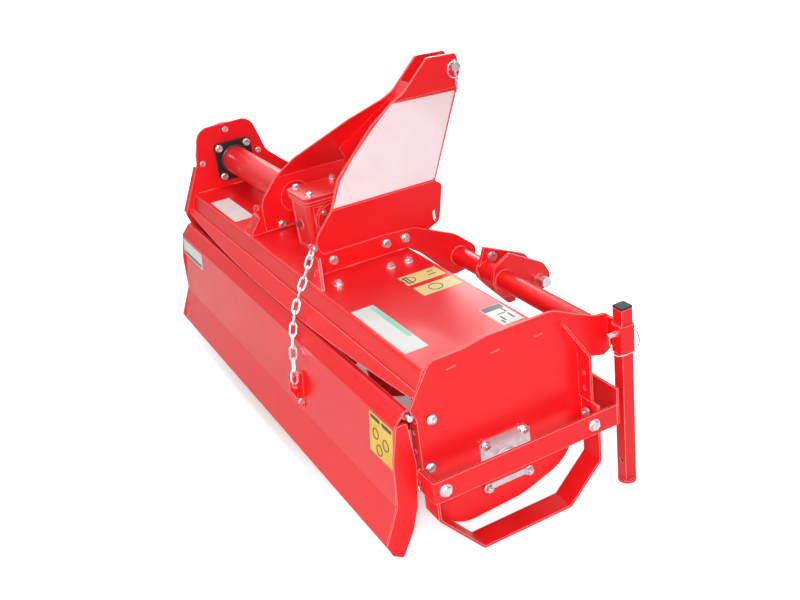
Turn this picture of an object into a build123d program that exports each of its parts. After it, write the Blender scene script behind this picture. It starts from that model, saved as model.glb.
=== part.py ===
from build123d import *
import os
from math import cos, hypot, radians, sin, tan

os.makedirs("parts", exist_ok=True)

# A rotavator for a tractor's three-point hitch, in millimetres.
# +X is the machine's right, +Y is forwards, towards the tractor, and +Z is up.
# The origin is on the PTO stub's axis, at the middle of its splines.
# Outlines across the machine are drawn as (u, v): u forwards and v up from the rotor's axis.

# ---------------------------------------------------------------- driving dimensions
ROTOR_BEHIND_PTO = 150.0     # from the middle of the PTO splines back to the rotor's axis
PTO_HEIGHT = 375.0           # of the PTO stub and the cross drive above the rotor's axis
HEAD_TO_RIGHT = 804.0        # from the headstock's middle plane to the right plate's inner face
HEAD_TO_LEFT = 726.0         # and to the left plate's inner face
SOLE = 158.0                 # of the skids below the rotor's axis
PLATE = 6.0                  # side plates
SHEET = 4.0                  # hood and tailboard
STRIP = 6.0                  # flat bars bent into skids, guards and stiffeners
FIT = 0.3                    # gap between pieces that turn or slide on each other

# hood
DECK_DROP = 84.5             # from the PTO stub down to the hood's flat top
DECK_TOP = PTO_HEIGHT - DECK_DROP
DECK_REAR = -176.0
DECK_FRONT = 121.0
STEP_FOOT = (-190.0, DECK_TOP - 48.5)  # where the step behind the flat top ends
SKIRT_LINE = [(190, DECK_TOP - 82.5), (203, DECK_TOP - 178.5)]
FLAP_FALL = 0.91             # of the rear flap, down for each millimetre backwards
FLAP_END = 16.0              # its depth at each end
FLAP_MIDDLE = 46.0
FLAP_SHEET = 3.0

# side plates
REAR_EDGE = -205.0
FRONT_EDGE = 213.0
PLATE_TOP = DECK_TOP + 27.0
REAR_FOLD = 30.0             # width of the flange folded from each plate's rear edge
FOLD_HOLES = (98.0, 143.0)   # heights of the holes in the right plate's fold
FRONT_FLAT = 44.0            # width of the stiffener on each plate's front edge
STIFFENER_TIP = 8.0          # its width at its pointed top
STIFFENER_HOLES = (112.0, 152.0)
SMALL_HOLE_R = 5.0

# gearbox and cross drive
DRIVE_U = -19.0              # forwards of the rotor's axis
GEARBOX_WIDTH = 120.0
GEARBOX_REAR = -85.0
GEARBOX_FRONT = 62.0
GEARBOX_CORNER = 14.0
NOSE = 22.0                  # length of the round nose round the PTO stub
NOSE_R = 46.0
LID_TOP = PTO_HEIGHT + 71.0
LID = 12.0
RIM = 5.0                    # of the housing's flange under the lid, past its walls
RIM_THICK = 9.0
RECESS = 3.0                 # depth of the panels cast into the housing's rear and right walls
RECESS_MARGIN = 18.0
PLUG = (-8.0, -17.0)         # the oil plug's boss, across and up from the PTO stub's axis
PLUG_R = 15.0
TRUMPET_R = 45.0
FLANGE_SIZE = 126.0
FLANGE = 12.0
CASE_TOP_R = 112.0
CASE_LOW_R = 100.0
CASE_DEEP = 78.0
CASE_CORNER = 14.0

# PTO stub, 1 3/8 inch with six splines
SHAFT_R = 17.4
SPLINE_LENGTH = 78.0
SPLINE_DEPTH = 2.6
SPLINE_GAP = 9.6
SPLINES = 6

# headstock
MAST_LOW_X = 197.0           # outer face of each mast plate below its lower bend
MAST_TOP_X = 34.0            # and above its upper bend
MAST_PLATE = 8.0
MAST_BEND_LOW = DECK_TOP + 154.5
MAST_BEND_TOP = DECK_TOP + 341.5
MAST_SLOT = (219.0, DECK_TOP + 60.5)
MAST_SLOT_SIZE = (30.0, 10.0)
TOP_PIN = (415.0, DECK_TOP + 397.5)
TOP_PIN_R = 12.5
TOP_PIN_REACH = 14.0         # past the mast plates on each side
BRACKET = 10.0
GUSSET_FOOT = -172.0         # where the sloping rear edge of each hitch bracket meets the deck
GUSSET_HEAD = (-137.0, DECK_TOP + 47.5)
GUSSET = 8.0                 # the gusset that stands along that edge
GUSSET_WIDE = 94.0           # the right one's width, and then the left one's
GUSSET_NARROW = 45.0
GUSSET_HOLE = (30.0, 22.0)   # outwards from the bracket and up from the deck
GUSSET_HOLE_R = 7.0
CROSS_TUBE = (276.0, DECK_TOP - 70.5)
CROSS_TUBE_R = 25.5
WEB_FOOT = (GEARBOX_FRONT + 16.0, DECK_TOP + 149.5)   # the web between the mast plates, from over the gearbox's front
WEB_HEAD = (283.0, DECK_TOP + 375.5)
WEB = 6.0
WEB_TONGUE = 52.0            # length of its tongue, which is as wide as the gearbox at its foot
WEB_FLARE = 32.0             # how far the tongue widens on each side
WEB_SHOULDER = 26.0
LOWER_PIN = (385.0, DECK_TOP - 103.5)
LOWER_PIN_R = 14.0
LOWER_OUT = 424.0            # from the middle plane to the clevises' outer faces
LOWER_PIN_REACH = 33.0
EAR_AT = (-139.0, DECK_TOP + 76.5)    # shackle's pin through the ear on each hitch bracket
EAR_R = 11.0
CLEVIS_GAP = 70.0
CLEVIS_PLATE = 10.0

# rotor
ROTOR_TUBE_R = 35.0
STUB_R = 20.0
TINE_R = 150.0               # swept radius of the tines
TINE_WIDTH = 40.0
TINE_THICK = 7.0
TINE_TALL = 34.0
TINE_BEND = 16.0
DISC_R = 88.0                # to the corners of the six-sided discs
DISC = 10.0
DISC_COUNT = 7
TINES_PER_DISC = 6
DISC_STEP = 17.0             # turn from each disc to the next, in degrees
ROTOR_END = 12.0             # gap between the end discs and the side plates

# end bearing, skids and guards
BEARING = (130.0, 76.0)      # the flange over the rotor's end, and the strap under it
BEARING_V = 33.0
BEARING_SHEET = 4.0
BEARING_CORNER = 12.0
STRAP = (122.0, 15.0)
STRAP_V = -52.0
DOME_R = 30.0
DOME = 14.0
DOME_EDGE = 6.0
SKID_WIDTH = 58.0
SKID_REAR = (-208.0, 62.0)
SKID_FRONT_TOP = 78.0
TAB = 34.0
GUARD_HEIGHT = 53.0
GUARD_FOOT = 13.0
GUARD_FRONT = 262.0
GUARD_BEND = 4.0
APRON_FOOT = 15.0
APRON_TOP = 107.0

# tailboard
HINGE = (-216.0, DECK_TOP - 100.5)
HINGE_ROD_R = 7.0
KNUCKLE_R = 11.0
KNUCKLE_END = 6.0            # from the knuckle's tube to the tailboard's end plates
LIP = 4.0                    # the sheet's lip rolled forwards over the knuckle
TAIL_TOP_BEND = (-248.0, HINGE[1] - 18.0)
TAIL_LOW_BEND = (-270.0, -18.0)
TAIL_FOOT = (-305.0, -112.0)
TAIL_SIDE_GAP = 8.0
LUG_X = 292.0
LUG_PLATE = 8.0
LUG_OUTLINE = [(78, 0), (84, 22), (100, 37), (122, 36), (142, 23), (186, 0)]
LUG_BOLT = (111.0, 25.0)     # down the panel from its top bend, and out from its face
LUG_BOLT_R = 5.0
LUG_BOLT_REACH = 12.0        # past the lug on each side

# lifting chain
WIRE_R = 3.0
LINK_PITCH = 29.0
LINK_WIDTH = 22.0
CHAIN_TWIST = 45.0
SHACKLE_PIN_R = 4.0
SHACKLE_PIN = 34.0           # length of its pin
SHACKLE_WIDTH = 20.0         # between the middles of its legs
SHACKLE_LENGTH = 30.0        # from the pin to the middle of its bow
SHACKLE_WIRE_R = 3.5
SHACKLE_EYE_R = 7.5
SHACKLE_HANG = (-0.5, -0.866)  # direction it hangs in

# parking stand
LEG = 30.0
LEG_WALL = 3.0
LEG_U = 296.0
LEG_TOP = DECK_TOP + 9.5
LEG_FROM_PLATE = 36.0        # gap between the right plate and the leg
FOOT_R = 22.0
FOOT = 6.0
CAP = 6.0
SLEEVE_WALL = 4.0
SLEEVE_CORNER = 7.0
SLEEVE_FOOT = DECK_TOP - 102.5
SLEEVE_TOP = DECK_TOP - 34.5
STAND_PIN_R = 6.0
STAND_PIN_V = DECK_TOP - 54.5
STAND_PIN_OUT = 24.0
STAND_HOLE_V = -100.0

# ---------------------------------------------------------------- places worked out
ROTOR_Y = -ROTOR_BEHIND_PTO
ROTOR_Z = -PTO_HEIGHT
RIGHT = HEAD_TO_RIGHT
LEFT = -HEAD_TO_LEFT
RIGHT_OUT = RIGHT + PLATE
LEFT_OUT = LEFT - PLATE
MIDDLE = (RIGHT + LEFT) / 2
FLOOR = -SOLE
SKID_OUT = RIGHT_OUT + SKID_WIDTH


def across(x):
    """Plane across the machine at x, with u forwards and v up from the rotor's axis."""
    return Plane(origin=(x, ROTOR_Y, ROTOR_Z), x_dir=(0, 1, 0), z_dir=(1, 0, 0))


def at(x, u, v):
    """Point of the machine from its place across and its place from the rotor's axis."""
    return (x, ROTOR_Y + u, ROTOR_Z + v)


def save(piece, name):
    """Label a finished piece and write it to its file."""
    piece.part.label = name
    export_step(piece.part, f"parts/{name}.step")


def bent(x0, x1, line, thick, bend=10.0):
    """Sheet between x0 and x1, bent along the (u, v) line at the middle of its thickness."""
    with BuildPart(mode=Mode.PRIVATE) as piece:
        with BuildSketch(across(x0)):
            with BuildLine() as spine:
                if len(line) > 2:
                    FilletPolyline(*line, radius=bend)
                else:
                    Line(*line)
            trace(spine.line, thick)
        extrude(amount=x1 - x0)
    return piece


def rod(x0, x1, centre, radius):
    """Round bar across the machine from x0 to x1 round a (u, v) centre."""
    with BuildPart(mode=Mode.PRIVATE) as piece:
        with BuildSketch(across(x0)):
            with Locations(centre):
                Circle(radius)
        extrude(amount=x1 - x0)
    return piece


def hole(x0, x1, centre, radius):
    """Cut a round hole across the piece being built."""
    add(rod(x0, x1, centre, radius).part, mode=Mode.SUBTRACT)


def on_deck(*points):
    """Points (u, v) or (u, v, radius) from the same with v counted from the hood's flat top."""
    return [(u, DECK_TOP + height, *rest) for u, height, *rest in points]


def rounded(*points):
    """Draw a closed outline through (u, v, radius) corners."""
    FilletPolyline(*[(u, v) for u, v, _ in points], radius=[r for *_, r in points], close=True)


# ---------------------------------------------------------------- hood
half = SHEET / 2
hood_line = [
    STEP_FOOT, (DECK_REAR, DECK_TOP - half), (DECK_FRONT, DECK_TOP - half), *SKIRT_LINE,
]
deck = bent(LEFT, RIGHT, hood_line, SHEET, bend=6)
save(deck, "deck")

# the flap is a thin sheet under the step, its lower edge an arc that is deepest in the middle
flap_plane = Plane(
    origin=at(MIDDLE, STEP_FOOT[0] - half - 0.5, STEP_FOOT[1] + 1),
    x_dir=(1, 0, 0),
    z_dir=(0, -FLAP_FALL, 1),
)
flap_half = (RIGHT - LEFT) / 2
with BuildPart() as rear_flap:
    with BuildSketch(flap_plane):
        with BuildLine():
            Line((flap_half, -FLAP_END), (flap_half, 0))
            Line((flap_half, 0), (-flap_half, 0))
            Line((-flap_half, 0), (-flap_half, -FLAP_END))
            ThreePointArc((-flap_half, -FLAP_END), (0, -FLAP_MIDDLE), (flap_half, -FLAP_END))
        make_face()
    extrude(amount=FLAP_SHEET)
save(rear_flap, "rear_flap")

# ---------------------------------------------------------------- side plates
# corners of the plates' outlines with their radii, from the front's foot round the rear to the front's top
FOOT_EDGE = [(FRONT_EDGE, 15, 9), (150, -75, 100), (40, -112, 200), (-140, -122, 90), (REAR_EDGE, -30, 60)]
REAR_CORNER = (REAR_EDGE, HINGE[1] - 6, 12)
EAR = on_deck(
    (208, -1.5, 50), (261, -24.5, 50), (294, -28.5, 16), (310, -50.5, 16), (303, -118.5, 12),
    (282, -130.5, 12), (FRONT_EDGE, -112.5, 9),
)
RIGHT_TOP = on_deck((-219, -79.5, 12), (-160, 16, 26), (-80, 17, 60), (-20, 27, 60), (150, 27, 70))
# the left plate rises in an arch that carries the cross drive's flange
LEFT_TOP = on_deck((-219, -60.5, 12), (-148, 94.5, 40), (-126, 207, 50), (60, 210, 45), (97, 87.5, 50), (160, 30, 40))
fold_u = REAR_EDGE + PLATE / 2

with BuildPart() as side_plate_right:
    with BuildSketch(across(RIGHT)):
        with BuildLine():
            rounded(*FOOT_EDGE, REAR_CORNER, *RIGHT_TOP, *EAR)
        make_face()
    extrude(amount=PLATE)
    add(bent(RIGHT - REAR_FOLD, RIGHT, [(fold_u, -10), (fold_u, HINGE[1] - 18)], PLATE).part)
    with BuildSketch(Plane.XZ.offset(-(ROTOR_Y + fold_u + PLATE / 2))):
        with Locations(*[(RIGHT - REAR_FOLD / 2, ROTOR_Z + v) for v in FOLD_HOLES]):
            Circle(SMALL_HOLE_R)
    extrude(amount=PLATE, mode=Mode.SUBTRACT)
    hole(RIGHT, RIGHT_OUT, (0, 0), STUB_R + 8)
save(side_plate_right, "side_plate_right")

with BuildPart() as side_plate_left:
    with BuildSketch(across(LEFT_OUT)):
        with BuildLine():
            rounded(*FOOT_EDGE, REAR_CORNER, *LEFT_TOP, *EAR)
        make_face()
    extrude(amount=PLATE)
    add(bent(LEFT_OUT - REAR_FOLD, LEFT_OUT, on_deck((-213, -58.5), (-149, 81.5)), PLATE).part)
    hole(LEFT_OUT, LEFT, (0, 0), STUB_R + 8)
save(side_plate_left, "side_plate_left")

# each stiffener follows its plate's front edge and narrows to a point at its sloping top
stiffener_u = FRONT_EDGE - PLATE / 2
stiffener_foot = 84.0
STIFFENER_LINE = [*on_deck((168, -10.5), (stiffener_u, -90.5)), (stiffener_u, stiffener_foot)]
for name, side, face in [("front_stiffener_right", 1, RIGHT_OUT), ("front_stiffener_left", -1, LEFT_OUT)]:
    with BuildPart() as front_stiffener:
        add(bent(*sorted((face, face + side * FRONT_FLAT)), STIFFENER_LINE, STRIP).part)
        with BuildSketch(Plane.XZ.offset(-(ROTOR_Y + FRONT_EDGE))):
            with BuildLine():
                low, bend, top = (ROTOR_Z + v for v in (stiffener_foot, DECK_TOP - 90.5, DECK_TOP))
                Polyline(
                    (face, low), (face + side * FRONT_FLAT, low), (face + side * FRONT_FLAT, bend),
                    (face + side * STIFFENER_TIP, top), (face, top), close=True,
                )
            make_face()
            with Locations(*[(face + side * FRONT_FLAT / 2, ROTOR_Z + v) for v in STIFFENER_HOLES]):
                Circle(SMALL_HOLE_R, mode=Mode.SUBTRACT)
        extrude(amount=FRONT_EDGE, mode=Mode.INTERSECT)
    save(front_stiffener, name)

# ---------------------------------------------------------------- gearbox and cross drive
box_middle = ROTOR_Y + (GEARBOX_REAR + GEARBOX_FRONT) / 2
box_length = GEARBOX_FRONT - GEARBOX_REAR
nose_start = ROTOR_Y + GEARBOX_FRONT
nose_end = nose_start + NOSE

wall_height = LID_TOP - LID - DECK_TOP
panel_height = wall_height - RIM_THICK - RECESS_MARGIN
panel_z = ROTOR_Z + DECK_TOP + (RECESS_MARGIN / 2 + panel_height / 2)
with BuildPart() as gearbox_housing:
    with BuildSketch(Plane.XY.offset(ROTOR_Z + DECK_TOP)):
        with Locations((0, box_middle)):
            RectangleRounded(GEARBOX_WIDTH, box_length, GEARBOX_CORNER)
    extrude(amount=wall_height)
    # shallow panels are cast into the rear and right walls, the rear one round the oil plug's boss
    with BuildSketch(Plane.XZ.offset(-(ROTOR_Y + GEARBOX_REAR))):
        with Locations((0, panel_z)):
            Rectangle(GEARBOX_WIDTH - 2 * RECESS_MARGIN, panel_height)
        with Locations(PLUG):
            Circle(PLUG_R, mode=Mode.SUBTRACT)
    extrude(amount=-RECESS, mode=Mode.SUBTRACT)
    with BuildSketch(Plane.YZ.offset(GEARBOX_WIDTH / 2)):
        with Locations((box_middle, panel_z)):
            Rectangle(box_length - 2 * RECESS_MARGIN, panel_height)
        with Locations((ROTOR_Y + DRIVE_U, 0)):
            Circle(TRUMPET_R, mode=Mode.SUBTRACT)
    extrude(amount=-RECESS, mode=Mode.SUBTRACT)
    with BuildSketch(Plane.XY.offset(ROTOR_Z + LID_TOP - LID)):
        with Locations((0, box_middle)):
            RectangleRounded(GEARBOX_WIDTH + 2 * RIM, box_length + 2 * RIM, GEARBOX_CORNER)
    extrude(amount=-RIM_THICK)
    with BuildSketch(Plane.XZ.offset(-nose_end)):
        Circle(NOSE_R)
    extrude(amount=NOSE + 1)
    with BuildSketch(Plane.XZ.offset(-nose_end)):
        Circle(SHAFT_R + FIT)
    extrude(amount=NOSE, mode=Mode.SUBTRACT)
save(gearbox_housing, "gearbox_housing")

with BuildPart() as gearbox_lid:
    with BuildSketch(Plane.XY.offset(ROTOR_Z + LID_TOP - LID)):
        with Locations((0, box_middle)):
            RectangleRounded(GEARBOX_WIDTH + 2 * RIM, box_length + 2 * RIM, GEARBOX_CORNER)
    extrude(amount=LID)
save(gearbox_lid, "gearbox_lid")

drive = (DRIVE_U, PTO_HEIGHT)
gearbox_cover = rod(GEARBOX_WIDTH / 2, GEARBOX_WIDTH / 2 + 12, drive, TRUMPET_R)
save(gearbox_cover, "gearbox_cover")

trumpet_tube = rod(LEFT + FLANGE, -GEARBOX_WIDTH / 2, drive, TRUMPET_R)
save(trumpet_tube, "trumpet_tube")

with BuildPart() as trumpet_flange:
    with BuildSketch(across(LEFT)):
        with Locations(drive):
            RectangleRounded(FLANGE_SIZE, FLANGE_SIZE, 14)
    extrude(amount=FLANGE)
save(trumpet_flange, "trumpet_flange")

with BuildPart() as gear_case:
    with BuildSketch(across(LEFT_OUT - CASE_DEEP)):
        with BuildSketch(mode=Mode.PRIVATE) as rounds:
            with Locations(drive):
                Circle(CASE_TOP_R)
            Circle(CASE_LOW_R)
        make_hull(rounds.edges())
    extrude(amount=CASE_DEEP)
    chamfer(gear_case.faces().sort_by(Axis.X)[0].edges(), CASE_CORNER)
    hole(LEFT_OUT - 2 * DISC, LEFT_OUT, (0, 0), STUB_R + FIT)
save(gear_case, "gear_case")

with BuildPart() as pto_shaft:
    with BuildSketch(Plane.XZ.offset(-(nose_start + FIT))):
        Circle(SHAFT_R)
    extrude(amount=-(SPLINE_LENGTH / 2 - nose_start - FIT))
    with BuildSketch(Plane.XZ.offset(-SPLINE_LENGTH / 2)):
        with PolarLocations(SHAFT_R, SPLINES):
            Rectangle(2 * SPLINE_DEPTH, SPLINE_GAP)
    extrude(amount=SPLINE_LENGTH, mode=Mode.SUBTRACT)
save(pto_shaft, "pto_shaft")

# ---------------------------------------------------------------- headstock
MAST_OUTLINE = on_deck(
    (-127, 5.5, 2), (-127, 92, 60), (-67, 160, 60), (-23, 210.5, 60), (126, 300.5, 60), (252, 357.5, 60),
    (336, 436.5, 9), (427, 432.5, 12), (434, 385, 20), (418, 336.5, 2), (232, 154.5, 2), (251, 142, 14),
    (232, 42.5, 22), (196, 27.5, 20), (60, 5.5, 2),
)
MAST_NOSE = 40.0             # how far the space under the mast's folds runs past the top pin


def between_masts(inset):
    """Space under the mast's folded outline, inset from its outer faces by a width across."""
    low, top = MAST_LOW_X - inset, MAST_TOP_X - inset
    foot, lower, upper, head = (ROTOR_Z + v for v in (DECK_TOP, MAST_BEND_LOW, MAST_BEND_TOP, 2 * TOP_PIN[1]))
    with BuildPart(mode=Mode.PRIVATE) as space:
        with BuildSketch(Plane.XZ.offset(-ROTOR_Y - TOP_PIN[0] - MAST_NOSE)):
            with BuildLine():
                Polyline(
                    (low, foot), (low, lower), (top, upper), (top, head),
                    (-top, head), (-top, upper), (-low, lower), (-low, foot),
                    close=True,
                )
            make_face()
        extrude(amount=TOP_PIN[0] + MAST_NOSE - REAR_EDGE)
    return space.part


for name, side in [("mast_plate_right", 1), ("mast_plate_left", -1)]:
    with BuildPart() as mast_plate:
        with BuildSketch(across(0)):
            with BuildLine():
                rounded(*MAST_OUTLINE)
            make_face()
            with Locations(TOP_PIN):
                Circle(TOP_PIN_R + FIT, mode=Mode.SUBTRACT)
            with Locations(MAST_SLOT):
                SlotOverall(*MAST_SLOT_SIZE, rotation=90, mode=Mode.SUBTRACT)
            if side < 0:
                with Locations(drive):
                    Circle(TRUMPET_R + 1, mode=Mode.SUBTRACT)
        extrude(amount=side * (MAST_LOW_X + 1))
        add(between_masts(0), mode=Mode.INTERSECT)
        add(between_masts(MAST_PLATE), mode=Mode.SUBTRACT)
    save(mast_plate, name)

# a sloping web ties the mast plates together, and its tongue reaches down to the gearbox
web_run, web_rise = WEB_HEAD[0] - WEB_FOOT[0], WEB_HEAD[1] - WEB_FOOT[1]
web_length = hypot(web_run, web_rise)
with BuildPart() as mast_web:
    with BuildSketch(Plane(origin=at(0, *WEB_FOOT), x_dir=(1, 0, 0), z_dir=(0, -web_rise, web_run))):
        with BuildLine():
            foot = GEARBOX_WIDTH / 2
            flare = foot + WEB_FLARE
            shoulder = WEB_TONGUE + WEB_SHOULDER
            Polyline(
                (-MAST_LOW_X, web_length), (-MAST_LOW_X, shoulder), (-flare, WEB_TONGUE), (-foot, 0),
                (foot, 0), (flare, WEB_TONGUE), (MAST_LOW_X, shoulder), (MAST_LOW_X, web_length),
                close=True,
            )
        make_face()
    extrude(amount=WEB)
    add(between_masts(MAST_PLATE), mode=Mode.INTERSECT)
save(mast_web, "mast_web")

pin_half = MAST_TOP_X + TOP_PIN_REACH
save(rod(-pin_half, pin_half, TOP_PIN, TOP_PIN_R), "top_link_pin")

# each bracket's rear corner stands up as an ear that can hold the lifting chain's shackle
BRACKET_OUTLINE = [
    (GUSSET_FOOT, DECK_TOP, 1), (*GUSSET_HEAD, 1), (EAR_AT[0] - EAR_R, EAR_AT[1], 6),
    (EAR_AT[0] - 4, EAR_AT[1] + EAR_R, 6), (EAR_AT[0] + EAR_R, EAR_AT[1] + 4, 6),
    *on_deck(
        (-118, 53.5, 10), (65, 54.5, 60), (149, 49.5, 60), (273, -7.5, 60), (334, -60, 30), (315, -112, 30),
        (250, -122.5, 30), (160, -28.5, 30),
    ),
    (DECK_FRONT, DECK_TOP, 1),
]


def gusset(side, width, slope):
    """Plate that stands outwards along a hitch bracket's sloping rear edge, its outer edge slanted by slope."""
    x = MAST_LOW_X + BRACKET
    foot, head = (GUSSET_FOOT, DECK_TOP), GUSSET_HEAD
    with BuildPart(mode=Mode.PRIVATE) as piece:
        with BuildSketch(across(side * x)):
            with BuildLine():
                Polyline(foot, head, (head[0] + GUSSET, head[1]), (foot[0] + GUSSET, foot[1]), close=True)
            make_face()
        extrude(amount=side * width)
        with BuildSketch(Plane.XZ.offset(-ROTOR_Y)):
            with BuildLine():
                low, high = ROTOR_Z + foot[1], ROTOR_Z + head[1]
                Polyline(
                    (side * x, low), (side * (x + width), low), (side * (x + width - slope), high),
                    (side * x, high), close=True,
                )
            make_face()
            with Locations((side * (x + GUSSET_HOLE[0]), low + GUSSET_HOLE[1])):
                Circle(GUSSET_HOLE_R, mode=Mode.SUBTRACT)
        extrude(amount=-foot[0], mode=Mode.INTERSECT)
    return piece.part


for name, side, width, slope in [
    ("hitch_bracket_right", 1, GUSSET_WIDE, GUSSET_WIDE - GUSSET),
    ("hitch_bracket_left", -1, GUSSET_NARROW, 0),
]:
    x0, x1 = sorted((side * MAST_LOW_X, side * (MAST_LOW_X + BRACKET)))
    with BuildPart() as hitch_bracket:
        with BuildSketch(across(x0)):
            with BuildLine():
                rounded(*BRACKET_OUTLINE)
            make_face()
            with Locations(CROSS_TUBE):
                Circle(CROSS_TUBE_R, mode=Mode.SUBTRACT)
            with Locations(EAR_AT):
                Circle(SHACKLE_PIN_R + FIT, mode=Mode.SUBTRACT)
            if side < 0:
                with Locations(drive):
                    Circle(TRUMPET_R + 1, mode=Mode.SUBTRACT)
        extrude(amount=x1 - x0)
        add(gusset(side, width, slope))
    save(hitch_bracket, name)

save(rod(LEFT, RIGHT, CROSS_TUBE, CROSS_TUBE_R), "cross_tube")

# both plates of a clevis reach forwards to the pin; the inner one also has a corner over the tube and a low toe
ARM = on_deck(
    (300, -5, 8), (400, -62, 34), (424, -104, 34), (398, -141, 34), (262, -118, 12), (242, -72, 12), (250, -32, 12),
)
HEEL = on_deck(
    (274, -5, 3), (400, -62, 34), (424, -104, 34), (398, -141, 12), (360, -140, 3), (358, -187, 3), (335, -187, 3),
    (273, -118, 12), (246, -82, 12),
)
for name, side in [("right", 1), ("left", -1)]:
    outer = LOWER_OUT - CLEVIS_PLATE
    inner = outer - CLEVIS_GAP - CLEVIS_PLATE
    with BuildPart() as lower_clevis:
        for near, outline in ((inner, HEEL), (outer, ARM)):
            with BuildSketch(across(side * near)):
                with BuildLine():
                    rounded(*outline)
                make_face()
                with Locations(CROSS_TUBE):
                    Circle(CROSS_TUBE_R, mode=Mode.SUBTRACT)
                with Locations(LOWER_PIN):
                    Circle(LOWER_PIN_R, mode=Mode.SUBTRACT)
            extrude(amount=side * CLEVIS_PLATE)
    save(lower_clevis, f"lower_clevis_{name}")
    x0, x1 = sorted((side * (inner - 12), side * (LOWER_OUT + LOWER_PIN_REACH)))
    save(rod(x0, x1, LOWER_PIN, LOWER_PIN_R), f"lower_link_pin_{name}")

# ---------------------------------------------------------------- rotor
rotor_left = LEFT + ROTOR_END
rotor_right = RIGHT - ROTOR_END
disc_span = rotor_right - rotor_left - DISC
disc_x = [rotor_left + disc_span * i / (DISC_COUNT - 1) for i in range(DISC_COUNT)]

with BuildPart() as rotor_shaft:
    add(rod(rotor_left, rotor_right, (0, 0), ROTOR_TUBE_R).part)
    add(rod(LEFT_OUT - DISC, rotor_left, (0, 0), STUB_R).part)
    add(rod(rotor_right, RIGHT_OUT + BEARING_SHEET, (0, 0), STUB_R).part)
    for i, x in enumerate(disc_x):
        with BuildSketch(across(x)):
            RegularPolygon(DISC_R, TINES_PER_DISC, rotation=DISC_STEP * i + 180 / TINES_PER_DISC)
        extrude(amount=DISC)
save(rotor_shaft, "rotor_shaft")


def tine(x, turn, side):
    """L-shaped tine on the face of the disc at x: its blade points right if side is 1."""
    near = x + DISC if side > 0 else x
    foot = -ROTOR_TUBE_R - TINE_THICK
    outer, inner = TINE_BEND, TINE_BEND - TINE_THICK * tan(radians(22.5))
    # its plane runs out along the arm and across the machine, through the rotor's axis
    sheet = Plane(origin=(near, ROTOR_Y, ROTOR_Z), x_dir=(side, 0, 0), z_dir=(0, 1, 0)).rotated((side * turn, 0, 0))
    with BuildPart(mode=Mode.PRIVATE) as piece:
        with BuildSketch(sheet) as profile:
            with BuildLine():
                Polyline(
                    (0, foot), (0, -TINE_R + outer), (outer, -TINE_R), (TINE_WIDTH, -TINE_R),
                    (TINE_WIDTH, -TINE_R + TINE_THICK), (TINE_THICK + inner, -TINE_R + TINE_THICK),
                    (TINE_THICK, -TINE_R + TINE_THICK + inner), (TINE_THICK, foot), close=True,
                )
            make_face()
        extrude(amount=TINE_TALL / 2, both=True)
    return piece.part


with BuildPart() as tines:
    for i, x in enumerate(disc_x):
        for k in range(TINES_PER_DISC):
            side = 1 if k % 2 else -1
            if x == disc_x[0]:
                side = 1
            if x == disc_x[-1]:
                side = -1
            add(tine(x, 360 / TINES_PER_DISC * k + DISC_STEP * i, side))
save(tines, "tines")

# ---------------------------------------------------------------- end bearing
with BuildPart() as bearing_plate:
    with BuildSketch(across(RIGHT_OUT)):
        with Locations((0, BEARING_V)):
            corners = Rectangle(*BEARING)
            chamfer(corners.vertices(), BEARING_CORNER)
    extrude(amount=BEARING_SHEET)
    with BuildSketch(across(RIGHT_OUT + BEARING_SHEET)):
        Circle(DOME_R)
    extrude(amount=DOME, taper=20)
    hole(RIGHT_OUT, RIGHT_OUT + BEARING_SHEET + 1, (0, 0), STUB_R + FIT)
save(bearing_plate, "bearing_plate")

with BuildPart() as bearing_strap:
    with BuildSketch(across(RIGHT_OUT)):
        with Locations((0, STRAP_V)):
            SlotOverall(*STRAP)
    extrude(amount=BEARING_SHEET)
save(bearing_strap, "bearing_strap")

# ---------------------------------------------------------------- skids and guards
SKID_LINE = [
    SKID_REAR, (SKID_REAR[0], -36), (-108, FLOOR + STRIP / 2), (127, FLOOR + STRIP / 2),
    (FRONT_EDGE + STRIP / 2, -68), (FRONT_EDGE + STRIP / 2, SKID_FRONT_TOP),
]
for name, inner, outer in [("skid_right", RIGHT_OUT, SKID_OUT), ("skid_left", LEFT_OUT, LEFT_OUT - SKID_WIDTH)]:
    side = 1 if outer > inner else -1
    with BuildPart() as skid:
        add(bent(min(inner, outer), max(inner, outer), SKID_LINE, STRIP).part)
        tab_v = GUARD_FOOT + GUARD_HEIGHT / 2
        for tab_u in (SKID_REAR[0] + TAB / 2, FRONT_EDGE - TAB / 2):
            with Locations(at(outer - side * STRIP / 2, tab_u, tab_v)):
                Box(STRIP, TAB, GUARD_HEIGHT - 10)
    save(skid, name)

# the guard bar runs along the skid's outer side, and its rear end is bent in across the skid's rear
with BuildPart() as guard_bar:
    with BuildSketch(Plane.XY.offset(ROTOR_Z + GUARD_FOOT)):
        with BuildLine() as spine:
            rear = ROTOR_Y + SKID_REAR[0] - STRIP / 2 - GUARD_BEND
            FilletPolyline(
                (RIGHT_OUT, rear), (SKID_OUT + STRIP / 2, rear), (SKID_OUT + STRIP / 2, ROTOR_Y + GUARD_FRONT),
                radius=GUARD_BEND,
            )
        trace(spine.line, STRIP)
    extrude(amount=GUARD_HEIGHT)
save(guard_bar, "guard_bar")

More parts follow.
